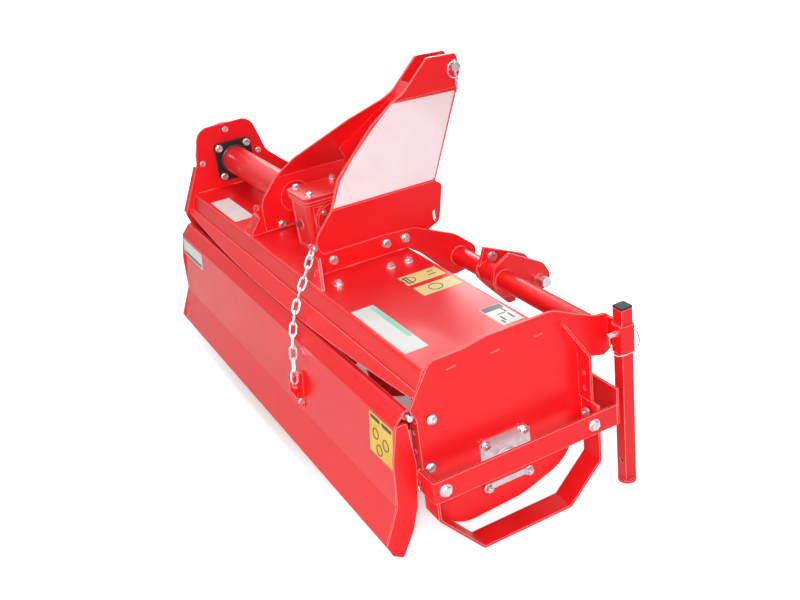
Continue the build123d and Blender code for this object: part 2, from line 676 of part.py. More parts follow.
# the apron is the front guard, with its left end returned to the left skid
apron_left = LEFT_OUT - SKID_WIDTH
apron_right = SKID_OUT + STRIP
apron_v = (APRON_FOOT + APRON_TOP) / 2
with BuildPart() as front_guard:
    with Locations(at((apron_left + apron_right) / 2, GUARD_FRONT + STRIP / 2, apron_v)):
        Box(apron_right - apron_left, STRIP, APRON_TOP - APRON_FOOT)
    return_start = FRONT_EDGE + STRIP
    with Locations(at(apron_left + STRIP / 2, (return_start + GUARD_FRONT) / 2, apron_v)):
        Box(STRIP, GUARD_FRONT - return_start, APRON_TOP - APRON_FOOT)
save(front_guard, "front_guard")

# ---------------------------------------------------------------- tailboard
tail_left = LEFT + TAIL_SIDE_GAP
tail_right = RIGHT - TAIL_SIDE_GAP
panel_left = tail_left + PLATE
panel_right = tail_right - PLATE
# the sheet is rolled over the knuckle, a tube that turns on the hinge rod, with its middle line just outside it
roll = KNUCKLE_R + half - 1
tail_line = [
    (HINGE[0] + LIP, HINGE[1] + roll), (HINGE[0] - roll / 2, HINGE[1] + roll), TAIL_TOP_BEND, TAIL_LOW_BEND, TAIL_FOOT,
]

save(rod(LEFT, RIGHT, HINGE, HINGE_ROD_R), "hinge_rod")

with BuildPart() as tailboard:
    add(bent(panel_left, panel_right, tail_line, SHEET).part)
    add(rod(panel_left + KNUCKLE_END, panel_right - KNUCKLE_END, HINGE, KNUCKLE_R).part)
    hole(panel_left, panel_right, HINGE, HINGE_ROD_R + FIT)
save(tailboard, "tailboard")

TAIL_END_OUTLINE = [
    (-222, 178), (-247, 177), (-265, 95), (-270, -14), (-309, -104), (-298, -133), (-273, -150),
    (-240, -90), (-222, -32), (-212, 71),
]
for name, x in [("tailboard_end_right", panel_right), ("tailboard_end_left", tail_left)]:
    with BuildPart() as tail_end:
        with BuildSketch(across(x)) as outline:
            with BuildLine():
                Polyline(*TAIL_END_OUTLINE, close=True)
            make_face()
            fillet(outline.vertices(), 5)
        extrude(amount=PLATE)
    save(tail_end, name)

# the lug stands on the panel's rear face and is drawn down the panel and outwards from it
panel_u, panel_v = TAIL_LOW_BEND[0] - TAIL_TOP_BEND[0], TAIL_LOW_BEND[1] - TAIL_TOP_BEND[1]
panel_length = hypot(panel_u, panel_v)
down = (panel_u / panel_length, panel_v / panel_length)
out = (down[1], -down[0])
face = (TAIL_TOP_BEND[0] + out[0] * SHEET / 2, TAIL_TOP_BEND[1] + out[1] * SHEET / 2)
with BuildPart() as chain_lug:
    with BuildSketch(Plane(origin=at(LUG_X - LUG_PLATE / 2, *face), x_dir=(0, *down), z_dir=(1, 0, 0))):
        with BuildLine():
            Polyline(*[(d, -o) for d, o in LUG_OUTLINE], close=True)
        make_face()
        with Locations((LUG_BOLT[0], -LUG_BOLT[1])):
            Circle(LUG_BOLT_R, mode=Mode.SUBTRACT)
    extrude(amount=LUG_PLATE)
save(chain_lug, "chain_lug")

bolt_centre = tuple(f + d * LUG_BOLT[0] + o * LUG_BOLT[1] for f, d, o in zip(face, down, out))
with BuildPart() as lug_bolt:
    with BuildSketch(across(LUG_X - LUG_PLATE / 2 - LUG_BOLT_REACH)):
        with Locations(bolt_centre):
            RegularPolygon(LUG_BOLT_R, 6)
    extrude(amount=LUG_PLATE + 2 * LUG_BOLT_REACH)
save(lug_bolt, "lug_bolt")

# ---------------------------------------------------------------- parking stand
leg_x = RIGHT_OUT + LEG_FROM_PLATE + LEG / 2
leg_y = ROTOR_Y + LEG_U
with BuildPart() as stand_leg:
    with BuildSketch(Plane.XY.offset(ROTOR_Z + FLOOR + FOOT)):
        with Locations((leg_x, leg_y)):
            Rectangle(LEG, LEG)
            Rectangle(LEG - 2 * LEG_WALL, LEG - 2 * LEG_WALL, mode=Mode.SUBTRACT)
    extrude(amount=LEG_TOP - CAP - FLOOR - FOOT)
    with BuildSketch(Plane.XY.offset(ROTOR_Z + FLOOR)):
        with Locations((leg_x, leg_y)):
            Circle(FOOT_R)
    extrude(amount=FOOT)
    with BuildSketch(Plane.XZ.offset(-leg_y - LEG / 2)):
        with Locations(*[(leg_x, ROTOR_Z + v) for v in (STAND_PIN_V, STAND_HOLE_V)]):
            Circle(STAND_PIN_R + FIT)
    extrude(amount=LEG, mode=Mode.SUBTRACT)
save(stand_leg, "stand_leg")

with BuildPart() as stand_cap:
    with BuildSketch(Plane.XY.offset(ROTOR_Z + LEG_TOP - CAP)):
        with Locations((leg_x, leg_y)):
            Rectangle(LEG, LEG)
    extrude(amount=CAP)
save(stand_cap, "stand_cap")

sleeve_in = LEG + 2 * FIT
sleeve_out = sleeve_in + 2 * SLEEVE_WALL
bridge = LEG_FROM_PLATE - FIT - SLEEVE_WALL
pin_plane = Plane.XZ.offset(-(leg_y - sleeve_in / 2))
pin_place = (leg_x, ROTOR_Z + STAND_PIN_V)
with BuildPart() as stand_sleeve:
    with BuildSketch(Plane.XY.offset(ROTOR_Z + SLEEVE_FOOT)):
        with Locations((leg_x, leg_y)):
            RectangleRounded(sleeve_out, sleeve_out, SLEEVE_CORNER)
        with Locations((RIGHT_OUT + bridge / 2, leg_y)):
            Rectangle(bridge, PLATE)
        with Locations((leg_x, leg_y)):
            Rectangle(sleeve_in, sleeve_in, mode=Mode.SUBTRACT)
    extrude(amount=SLEEVE_TOP - SLEEVE_FOOT)
    with BuildSketch(pin_plane):
        with Locations(pin_place):
            Circle(STAND_PIN_R)
    extrude(amount=SLEEVE_WALL, mode=Mode.SUBTRACT)
save(stand_sleeve, "stand_sleeve")

with BuildPart() as stand_pin:
    with BuildSketch(pin_plane):
        with Locations(pin_place):
            Circle(STAND_PIN_R)
    extrude(amount=SLEEVE_WALL + STAND_PIN_OUT)
save(stand_pin, "stand_pin")

# ---------------------------------------------------------------- lifting chain
ear_x = MAST_LOW_X + BRACKET / 2
save(rod(ear_x - SHACKLE_PIN / 2, ear_x + SHACKLE_PIN / 2, EAR_AT, SHACKLE_PIN_R), "shackle_pin")

# the shackle straddles the ear and hangs from its pin, drawn with y along its own length
hang = Plane(origin=at(ear_x, *EAR_AT), x_dir=(1, 0, 0), z_dir=(0, -SHACKLE_HANG[1], SHACKLE_HANG[0]))
bow = SHACKLE_WIDTH / 2
with BuildPart() as shackle:
    with BuildLine(hang):
        corners = [(bow * cos(radians(a)), SHACKLE_LENGTH - bow + bow * sin(radians(a))) for a in (144, 108, 72, 36)]
        Polyline((-bow, 0), (-bow, SHACKLE_LENGTH - bow), *corners, (bow, SHACKLE_LENGTH - bow), (bow, 0))
    with BuildSketch(Plane(origin=hang.origin - hang.x_dir * bow, x_dir=hang.x_dir, z_dir=hang.y_dir)):
        RegularPolygon(SHACKLE_WIRE_R, 8)
    sweep(transition=Transition.RIGHT)
    for x in (ear_x - bow, ear_x + bow):
        with BuildSketch(across(x - SHACKLE_WIRE_R)):
            with Locations(EAR_AT):
                RegularPolygon(SHACKLE_EYE_R, 8)
        extrude(amount=2 * SHACKLE_WIRE_R)
    hole(ear_x - SHACKLE_PIN, ear_x + SHACKLE_PIN, EAR_AT, SHACKLE_PIN_R + FIT)
save(shackle, "shackle")

# the chain runs from inside the shackle's bow to just over the lug's bolt, and hangs backwards from the straight
# line between them by so much at these shares of the way
grip = SHACKLE_LENGTH - SHACKLE_WIRE_R - WIRE_R - 3 * FIT
CHAIN_SLACK = [(0.17, 10), (0.35, 23), (0.5, 25), (0.65, 21), (0.82, 11)]
chain_start = Vector(ear_x, EAR_AT[0] + SHACKLE_HANG[0] * grip, EAR_AT[1] + SHACKLE_HANG[1] * grip)
chain_end = Vector(
    LUG_X + LUG_PLATE / 2 + LINK_WIDTH / 2 + 4 * FIT, bolt_centre[0], bolt_centre[1] + LUG_BOLT_R + 3 * WIRE_R,
)


def link():
    """One link of the chain, lying in the XY plane and long along X, its wire six-sided."""
    s = (LINK_PITCH - LINK_WIDTH) / 2 + 2 * WIRE_R + FIT
    r = LINK_WIDTH / 2 - WIRE_R
    corners = [(s + r * cos(radians(a)), r * sin(radians(a))) for a in (90, 30, -30, -90)]
    with BuildPart(mode=Mode.PRIVATE) as piece:
        with BuildLine():
            Polyline((0, r), *corners, (0, -r))
        with BuildSketch(Plane(origin=(0, r, 0), x_dir=(0, 1, 0), z_dir=(1, 0, 0))):
            RegularPolygon(WIRE_R, 6)
        sweep(transition=Transition.RIGHT)
        mirror(about=Plane.YZ)
    return piece.part


# each link is turned a quarter from the last, and the whole chain untwists towards the lug
with BuildLine(mode=Mode.PRIVATE):
    slack = [chain_start + (chain_end - chain_start) * share - Vector(0, back, 0) for share, back in CHAIN_SLACK]
    run = Spline(*[at(*p) for p in (chain_start, *slack, chain_end)])
count = round(run.length / LINK_PITCH)
with BuildPart() as lifting_chain:
    for i in range(count):
        start, end = run @ (i / count), run @ ((i + 1) / count)
        ahead = (end - start).normalized()
        frame = Plane(origin=(start + end) / 2, x_dir=ahead, z_dir=ahead.cross(Vector(0, -ahead.Z, ahead.Y)))
        turn = 90 * ((count - 1 - i) % 2) + CHAIN_TWIST * (1 - (i + 1) / count)
        with Locations(frame.location * Location((0, 0, 0), (turn, 0, 0))):
            add(link())
save(lifting_chain, "lifting_chain")
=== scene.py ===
"""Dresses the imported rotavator: finishes, fasteners, wires, welds, labels, floor, light and camera."""

import logging
import math
from collections.abc import Callable, Iterator, Sequence
from contextlib import contextmanager
from dataclasses import dataclass, field
from enum import Enum
from typing import ClassVar

import bmesh
import bpy
from mathutils import Matrix, Vector


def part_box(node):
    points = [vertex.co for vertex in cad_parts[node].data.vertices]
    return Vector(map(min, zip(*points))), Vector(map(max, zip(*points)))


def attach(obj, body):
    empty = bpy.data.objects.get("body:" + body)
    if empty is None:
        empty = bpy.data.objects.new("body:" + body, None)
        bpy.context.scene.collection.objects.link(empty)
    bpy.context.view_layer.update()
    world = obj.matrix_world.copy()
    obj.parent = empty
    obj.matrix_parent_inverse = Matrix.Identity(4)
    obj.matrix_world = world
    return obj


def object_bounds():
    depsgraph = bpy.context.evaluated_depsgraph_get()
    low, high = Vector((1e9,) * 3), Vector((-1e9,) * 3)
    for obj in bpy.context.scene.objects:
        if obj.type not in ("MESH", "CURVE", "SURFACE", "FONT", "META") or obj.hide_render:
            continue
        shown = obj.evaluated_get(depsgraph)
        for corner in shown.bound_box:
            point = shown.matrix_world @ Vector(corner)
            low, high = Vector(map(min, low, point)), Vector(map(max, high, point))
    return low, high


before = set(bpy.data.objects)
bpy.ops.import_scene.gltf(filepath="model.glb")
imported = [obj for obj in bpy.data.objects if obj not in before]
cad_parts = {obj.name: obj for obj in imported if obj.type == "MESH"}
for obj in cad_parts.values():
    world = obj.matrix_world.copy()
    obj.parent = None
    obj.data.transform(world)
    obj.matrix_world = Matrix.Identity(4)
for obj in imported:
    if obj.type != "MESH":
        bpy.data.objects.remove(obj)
cad_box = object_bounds()

log = logging.getLogger("rotavator")
Point = tuple[float, float, float]
Spot = tuple[float, float]
MM = 0.001
RIGHT = Vector((1, 0, 0))
FORWARD = Vector((0, 1, 0))
UP = Vector((0, 0, 1))
# Edges sharper than this many degrees stay sharp.
SHARP = 35.0
# A face whose normal rises more than this is taken as level.
LEVEL = 0.9


class Body(str, Enum):
    """The rigid bodies that pieces ride on."""

    FRAME = "frame"
    TAILBOARD = "tailboard"


# ---------------------------------------------------------------- shader maths


class Value:
    """A number socket whose Python operators add Math nodes."""

    def __init__(self, shader: "Nodes", socket: bpy.types.NodeSocket) -> None:
        """Keeps the socket and the shader that it belongs to.

        Args:
            shader: The shader whose tree gets the new nodes.
            socket: The output socket that holds the number.
        """
        self.shader = shader
        self.socket = socket

    def _maths(self, operation: str, first: "Value | float", second: "Value | float") -> "Value":
        """Adds one Math node.

        Args:
            operation: The node's operation.
            first: Its first number or link.
            second: Its second number or link.

        Returns:
            The node's result.
        """
        node = self.shader.node("ShaderNodeMath", {"operation": operation}, {0: first, 1: second})
        return Value(self.shader, node.outputs[0])

    def __add__(self, other: "Value | float") -> "Value":
        """Sum of two numbers."""
        return self._maths("ADD", self, other)

    def __rsub__(self, other: float) -> "Value":
        """A number less the socket's."""
        return self._maths("SUBTRACT", other, self)

    def __mul__(self, other: "Value | float") -> "Value":
        """Product of two numbers."""
        return self._maths("MULTIPLY", self, other)

    __radd__ = __add__
    __rmul__ = __mul__


class Nodes:
    """A node tree, built one node at a time."""

    def __init__(self, tree: bpy.types.NodeTree) -> None:
        """Keeps the tree.

        Args:
            tree: The tree that gets the nodes.
        """
        self.tree = tree

    def node(self, kind: str, settings: dict[str, object],
             sockets: dict[int | str, object]) -> bpy.types.Node:
        """Adds a node.

        Args:
            kind: The node's type name.
            settings: Properties of the node, set first.
            sockets: Values or links of its inputs, by name or number.

        Returns:
            The node.
        """
        node = self.tree.nodes.new(kind)
        for key, value in settings.items():
            if key == "stops":
                self._stops(node, value)
            else:
                setattr(node, key, value)
        for key, value in sockets.items():
            self.feed(node.inputs[key], value)
        return node

    def feed(self, target: bpy.types.NodeSocket, value: object) -> None:
        """Links a socket to an input, or writes a plain value to it.

        Args:
            target: The input.
            value: A Value, a socket or a plain value.
        """
        if isinstance(value, Value):
            value = value.socket
        if isinstance(value, bpy.types.NodeSocket):
            self.tree.links.new(value, target)
        else:
            target.default_value = value

    @staticmethod
    def _stops(node: bpy.types.Node, stops: Sequence[Spot]) -> None:
        """Sets a ramp's grey stops.

        Args:
            node: A colour ramp.
            stops: Pairs of place and level.
        """
        elements = node.color_ramp.elements
        for element, (place, level) in zip(elements, stops):
            element.position = place
            element.color = (level, level, level, 1)

    def ramp(self, value: Value, low: Spot, high: Spot) -> Value:
        """Value put through a ramp of two stops.

        Args:
            value: The number to map.
            low: Place and level of the lower stop.
            high: Place and level of the upper stop.

        Returns:
            The mapped number.
        """
        node = self.node("ShaderNodeValToRGB", {"stops": (low, high)}, {"Fac": value})
        return Value(self, node.outputs["Color"])

    def blend(self, mask: Value, first: object, second: object) -> bpy.types.NodeSocket:
        """Colour between two colours.

        Args:
            mask: Zero for the first colour and one for the second.
            first: A colour or a colour socket.
            second: A colour or a colour socket.

        Returns:
            The mixed colour.
        """
        sockets = {"Factor": mask, 6: first, 7: second}
        return self.node("ShaderNodeMix", {"data_type": "RGBA"}, sockets).outputs[2]

    def first(self, kind: str) -> bpy.types.Node:
        """The tree's own node of a type."""
        return next(n for n in self.tree.nodes if n.type == kind)


class Shader(Nodes):
    """A material's nodes."""

    def __init__(self, name: str) -> None:
        """Makes a material with an empty tree but for its output and its Principled shader.

        Args:
            name: The material's name.
        """
        self.material = bpy.data.materials.new(name)
        self.material.use_nodes = True
        super().__init__(self.material.node_tree)
        self.principled = self.first("BSDF_PRINCIPLED")
        self.output = self.first("OUTPUT_MATERIAL")

    def place(self) -> bpy.types.NodeSocket:
        """The point of the piece, in metres."""
        return self.node("ShaderNodeTexCoord", {}, {}).outputs["Object"]

    def noise(self, scale: float, detail: float = 2.0, roughness: float = 0.5) -> Value:
        """Noise fixed to the piece.

        Args:
            scale: Waves in a metre.
            detail: Octaves.
            roughness: Weight of the finer octaves.

        Returns:
            The noise, from 0 to 1.
        """
        sockets = {"Vector": self.place(), "Scale": scale, "Detail": detail, "Roughness": roughness}
        return Value(self, self.node("ShaderNodeTexNoise", {}, sockets).outputs["Fac"])

    def edges(self, radius: float) -> Value:
        """Sharp edges of the piece.

        Args:
            radius: How far from an edge it reaches, in metres.

        Returns:
            One on an edge and zero away from all.
        """
        rounded = self.node("ShaderNodeBevel", {"samples": 4}, {"Radius": radius})
        flat = self.node("ShaderNodeNewGeometry", {}, {})
        normals = {0: rounded.outputs["Normal"], 1: flat.outputs["Normal"]}
        same = self.node("ShaderNodeVectorMath", {"operation": "DOT_PRODUCT"}, normals)
        return self.ramp(1.0 - Value(self, same.outputs["Value"]), (0.01, 0.0), (0.16, 1.0))

    def bump(self, height: Value, depth: float, strength: float) -> bpy.types.NodeSocket:
        """Normal of a surface with a height.

        Args:
            height: The height, from 0 to 1.
            depth: The height of 1, in metres.
            strength: Share of the effect.

        Returns:
            The normal.
        """
        sockets = {"Height": height, "Distance": depth, "Strength": strength}
        return self.node("ShaderNodeBump", {}, sockets).outputs["Normal"]


def rgba(colour: Point) -> tuple[float, float, float, float]:
    """Colour with full alpha."""
    return (*colour, 1.0)


# ---------------------------------------------------------------- finishes


@dataclass(frozen=True)
class Paint:
    """Glossy enamel on sheet metal.

    Attributes:
        name: Name of the material.
        colour: Main colour.
        deep: Colour of the slightly deeper patches.
        roughness: Of the enamel.
        specular: Level of its reflections.
        coat: Weight of the clear top layer.
        coat_roughness: Roughness of that layer.
        peel: Depth of the orange-peel texture, in metres.
        grain: Depth of a casting's sandy texture, in metres.
        edge: How far the painted highlight on an edge reaches, in metres.
        edge_highlight: How strong that painted highlight is.
        bright: Colour of that painted highlight.
        patch: Share of the deeper colour in a patch.
        smear: What a smear adds to the roughness.
    """

    name: str
    colour: Point
    deep: Point
    roughness: float = 0.3
    specular: float = 0.32
    coat: float = 0.08
    coat_roughness: float = 0.08
    peel: float = 0.00002
    grain: float = 0.0
    edge: float = 0.0028
    edge_highlight: float = 0.65
    bright: Point = (0.95, 0.75, 0.7)
    patch: float = 0.5
    smear: float = 0.07

    def material(self) -> bpy.types.Material:
        """Builds the material."""
        shader = Shader(self.name)
        patches = shader.ramp(shader.noise(3.5, 3.0), (0.35, 0.0), (0.7, 1.0))
        inputs = shader.principled.inputs
        base = shader.blend(patches * self.patch, rgba(self.colour), rgba(self.deep))
        # Painted highlight: sharp edges are blended towards a pale colour, standing in for the light
        # that the edges catch.
        edge_highlight = shader.edges(self.edge) * self.edge_highlight
        shader.feed(inputs["Base Color"], shader.blend(edge_highlight, base, rgba(self.bright)))
        smear = shader.ramp(shader.noise(9.0, 4.0, 0.6), (0.3, 0.0), (0.75, 1.0))
        shader.feed(inputs["Roughness"], smear * self.smear + self.roughness)
        shader.feed(inputs["Specular IOR Level"], self.specular)
        shader.feed(inputs["Coat Weight"], self.coat)
        shader.feed(inputs["Coat Roughness"], self.coat_roughness)
        height = shader.noise(420.0, 2.0)
        depth = self.peel
        if self.grain:
            height = height * 0.4 + shader.noise(150.0, 5.0, 0.65) * 0.6
            depth = self.grain
        shader.feed(inputs["Normal"], shader.bump(height, depth, 1.0))
        return shader.material


@dataclass(frozen=True)
class Plating:
    """Zinc plating or galvanising.

    Attributes:
        name: Name of the material.
        colour: Main colour.
        tint: Colour of the duller patches.
        roughness: Of the bright parts.
        patch: Patches in a metre.
        spangle: Whether the patches are crystals with straight edges.
        metallic: How far it mirrors like bare metal.
        dull: What a duller patch adds to the roughness.
        pitted: Depth of its fine texture, in metres.
    """

    name: str
    colour: Point = (0.84, 0.86, 0.89)
    tint: Point = (0.6, 0.63, 0.67)
    roughness: float = 0.2
    patch: float = 90.0
    spangle: bool = False
    metallic: float = 0.88
    dull: float = 0.16
    pitted: float = 0.00003

    def material(self) -> bpy.types.Material:
        """Builds the material."""
        shader = Shader(self.name)
        if self.spangle:
            sockets = {"Vector": shader.place(), "Scale": self.patch}
            cells = shader.node("ShaderNodeTexVoronoi", {"feature": "F1"}, sockets)
            split = shader.node("ShaderNodeSeparateColor", {}, {"Color": cells.outputs["Color"]})
            mask = Value(shader, split.outputs[0])
        else:
            mask = shader.ramp(shader.noise(self.patch, 3.0), (0.35, 0.0), (0.65, 1.0))
        inputs = shader.principled.inputs
        shader.feed(inputs["Base Color"], shader.blend(mask, rgba(self.colour), rgba(self.tint)))
        shader.feed(inputs["Metallic"], self.metallic)
        shader.feed(inputs["Roughness"], mask * self.dull + self.roughness)
        shader.feed(inputs["Normal"], shader.bump(shader.noise(600.0, 2.0), self.pitted, 0.6))
        return shader.material


@dataclass(frozen=True)
class Plastic:
    """Plain moulded plastic or rubber.

    Attributes:
        name: Name of the material.
        colour: Its colour.
        roughness: Of its smoother parts.
        mottled: What the mottling adds to the roughness.
        grain: Depth of its fine texture, in metres.
    """

    name: str
    colour: Point
    roughness: float = 0.5
    mottled: float = 0.12
    grain: float = 0.00004

    def material(self) -> bpy.types.Material:
        """Builds the material."""
        shader = Shader(self.name)
        mottle = shader.noise(60.0, 4.0)
        pale = tuple(min(1.0, c * 1.25 + 0.01) for c in self.colour)
        inputs = shader.principled.inputs
        shader.feed(inputs["Base Color"], shader.blend(mottle, rgba(self.colour), rgba(pale)))
        shader.feed(inputs["Roughness"], mottle * self.mottled + self.roughness)
        shader.feed(inputs["Normal"], shader.bump(shader.noise(700.0, 2.0), self.grain, 0.5))
        return shader.material


@dataclass(frozen=True)
class Film:
    """Printed plastic film of a label.

    Attributes:
        name: Name of the material.
        colour: Its colour.
        faded: Colour of its faded patches.
        roughness: Of its fresher parts.
        dull: What a faded patch adds to the roughness.
        grain: Depth of its fine texture, in metres.
    """

    name: str
    colour: Point
    faded: Point
    roughness: float = 0.38
    dull: float = 0.1
    grain: float = 0.00002

    def material(self) -> bpy.types.Material:
        """Builds the material."""
        shader = Shader(self.name)
        cloud = shader.ramp(shader.noise(12.0, 3.0), (0.35, 0.0), (0.7, 1.0))
        inputs = shader.principled.inputs
        shader.feed(inputs["Base Color"], shader.blend(cloud, rgba(self.colour), rgba(self.faded)))
        shader.feed(inputs["Roughness"], cloud * self.dull + self.roughness)
        shader.feed(inputs["Normal"], shader.bump(shader.noise(300.0, 2.0), self.grain, 0.5))
        return shader.material


class Finish(Enum):
    """Every finish on the machine."""

    RED = Paint("red_enamel", (0.9, 0.012, 0.016), (0.78, 0.006, 0.01))
    CASTING = Paint("red_casting", (0.86, 0.012, 0.015), (0.7, 0.006, 0.009), 0.36, grain=0.0004)
    BLACK = Paint("black_enamel", (0.018, 0.018, 0.02), (0.012, 0.012, 0.013), 0.38, coat=0.15, edge_highlight=0.1)
    ZINC = Plating("zinc_plating")
    GALVANISED = Plating("galvanised_sheet", (0.8, 0.85, 0.88), (0.64, 0.7, 0.75), 0.34, 130.0, True)
    STEEL = Plating("machined_steel", (0.5, 0.5, 0.5), (0.36, 0.35, 0.34), 0.3, 60.0)
    RUBBER = Plastic("black_rubber", (0.014, 0.014, 0.015), 0.55)
    PANEL = Film("pale_panel_film", (0.9, 0.73, 0.76), (0.88, 0.67, 0.71))
    WHITE = Film("white_film", (0.85, 0.88, 0.86), (0.78, 0.8, 0.77))
    YELLOW = Film("yellow_film", (0.86, 0.6, 0.09), (0.8, 0.5, 0.05))
    PALE_YELLOW = Film("pale_yellow_film", (0.87, 0.73, 0.33), (0.84, 0.68, 0.24))
    GREEN = Film("green_film", (0.02, 0.2, 0.1), (0.02, 0.13, 0.07))
    MINT = Film("mint_film", (0.25, 0.72, 0.52), (0.32, 0.76, 0.6))
    INK = Film("dark_ink", (0.03, 0.028, 0.028), (0.05, 0.045, 0.04))

    def material(self) -> bpy.types.Material:
        """The finish's material, made on its first use."""
        return bpy.data.materials.get(self.value.name) or self.value.material()


SLOTS = {
    Finish.RED: "red_paint",
    Finish.ZINC: "zinc",
    Finish.GALVANISED: "zinc",
    Finish.BLACK: "black_paint",
}


# ---------------------------------------------------------------- modelling in edit mode


@contextmanager
def editing(piece: bpy.types.Object) -> Iterator[None]:
    """Opens a piece in edit mode with nothing selected, and closes it at the end.

    Args:
        piece: The mesh object to edit.
    """
    bpy.ops.object.select_all(action="DESELECT")
    piece.select_set(True)
    bpy.context.view_layer.objects.active = piece
    bpy.ops.object.mode_set(mode="EDIT")
    bpy.ops.mesh.select_all(action="DESELECT")
    yield
    bpy.ops.object.mode_set(mode="OBJECT")


def pick_faces(piece: bpy.types.Object, test: Callable[[bmesh.types.BMFace], bool]) -> None:
    """Selects the faces that pass a test, in edit mode.

    Args:
        piece: The mesh object in edit mode.
        test: Says of a face whether it is wanted.
    """
    mesh = bmesh.from_edit_mesh(piece.data)
    for face in mesh.faces:
        face.select_set(test(face))
    bmesh.update_edit_mesh(piece.data)


def primitive(name: str, add: Callable[..., object], **sizes: object) -> bpy.types.Object:
    """Adds a primitive and names it.

    Args:
        name: Name of the piece.
        add: The operator that adds it.
        **sizes: The operator's sizes.

    Returns:
        The new object.
    """
    bpy.ops.object.select_all(action="DESELECT")
    add(**sizes)
    piece = bpy.context.active_object
    piece.name = name
    piece.data.name = name
    return piece


def settle(piece: bpy.types.Object, where: Matrix) -> bpy.types.Object:
    """Puts a piece in its place and writes the place into its mesh.

    Args:
        piece: The piece, modelled at the origin.
        where: Its place.

    Returns:
        The piece.
    """
    piece.data.transform(where @ piece.matrix_basis)
    piece.matrix_basis = Matrix.Identity(4)
    return piece


def facing(point: Vector, normal: Vector, turn: float = 0.0) -> Matrix:
    """Place of a piece that stands on a surface.

    Args:
        point: Where it stands.
        normal: Direction of its own +Z.
        turn: Turn about that direction, in degrees.

    Returns:
        The place.
    """
    aim = normal.normalized().to_track_quat("Z", "Y").to_matrix().to_4x4()
    return Matrix.Translation(point) @ aim @ Matrix.Rotation(math.radians(turn), 4, "Z")


def join(name: str, parts: Sequence[bpy.types.Object]) -> bpy.types.Object:
    """Joins pieces into one.

    Args:
        name: Name of the result.
        parts: The pieces, the first of which takes the rest.

    Returns:
        The joined piece.
    """
    bpy.ops.object.select_all(action="DESELECT")
    for part in parts:
        part.select_set(True)
    bpy.context.view_layer.objects.active = parts[0]
    bpy.ops.object.join()
    piece = bpy.context.active_object
    piece.name = name
    piece.data.name = name
    return piece


def finish_piece(piece: bpy.types.Object, finish: Finish, body: Body) -> None:
    """Gives a piece its smoothing, its finish and its body.

    Args:
        piece: The piece.
        finish: Its finish.
        body: The body that it rides on.
    """
    bpy.ops.object.select_all(action="DESELECT")
    piece.select_set(True)
    bpy.context.view_layer.objects.active = piece
    bpy.ops.object.shade_smooth_by_angle(angle=math.radians(SHARP))
    piece.data.materials.clear()
    piece.data.materials.append(finish.material())
    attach(piece, body.value)
    finish in SLOTS
    log.info("%s on %s: %d faces", piece.name, body.value, len(piece.data.polygons))


# ---------------------------------------------------------------- where things are


@dataclass(frozen=True)
class Datum:
    """Places measured from the rotor's axis, u forwards and v up, in millimetres.

    Attributes:
        axis: A point on the rotor's axis, in metres.
    """

    axis: Vector

    def at(self, x: float, u: float, v: float) -> Vector:
        """Point in metres at x across, u forwards and v up.

        Args:
            x: Across the machine, in millimetres.
            u: Forwards from the rotor's axis.
            v: Up from the rotor's axis.

        Returns:
            The point.
        """
        return Vector((x * MM, self.axis.y + u * MM, self.axis.z + v * MM))

    def forward(self, y: float) -> float:
        """Distance in millimetres forwards of the rotor's axis, of a y in metres."""
        return (y - self.axis.y) / MM

    def height(self, z: float) -> float:
        """Height in millimetres over the rotor's axis, of a z in metres."""
        return (z - self.axis.z) / MM

    def middle(self, node: str) -> Point:
        """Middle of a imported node, as x, u and v.

        Args:
            node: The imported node.

        Returns:
            The point, in millimetres.
        """
        low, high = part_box(node)
        centre = (low + high) / 2
        return centre.x / MM, self.forward(centre.y), self.height(centre.z)


def rotor_datum() -> Datum:
    """Datum at the middle of the rotor's shaft."""
    low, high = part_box("rotor_shaft")
    return Datum((low + high) / 2)


# ---------------------------------------------------------------- fasteners


def disc(name: str, sides: int, radius: float, foot: float, height: float,
         edge: float) -> bpy.types.Object:
    """Upright disc or prism, the edge of its top bevelled.

    Args:
        name: Name of the piece.
        sides: Number of its sides.
        radius: Its radius to the corners, in millimetres.
        foot: Height of its foot over the origin.
        height: Its own height.
        edge: Width of the bevel.

    Returns:
        The disc.
    """
    piece = primitive(name, bpy.ops.mesh.primitive_cylinder_add, vertices=sides, radius=radius * MM,
                      depth=height * MM, location=(0, 0, (foot + height / 2) * MM))
    with editing(piece):
        pick_faces(piece, lambda f: f.normal.z > LEVEL)
        bpy.ops.mesh.bevel(offset=edge * MM, segments=2, affect="EDGES")
    return settle(piece, Matrix.Identity(4))


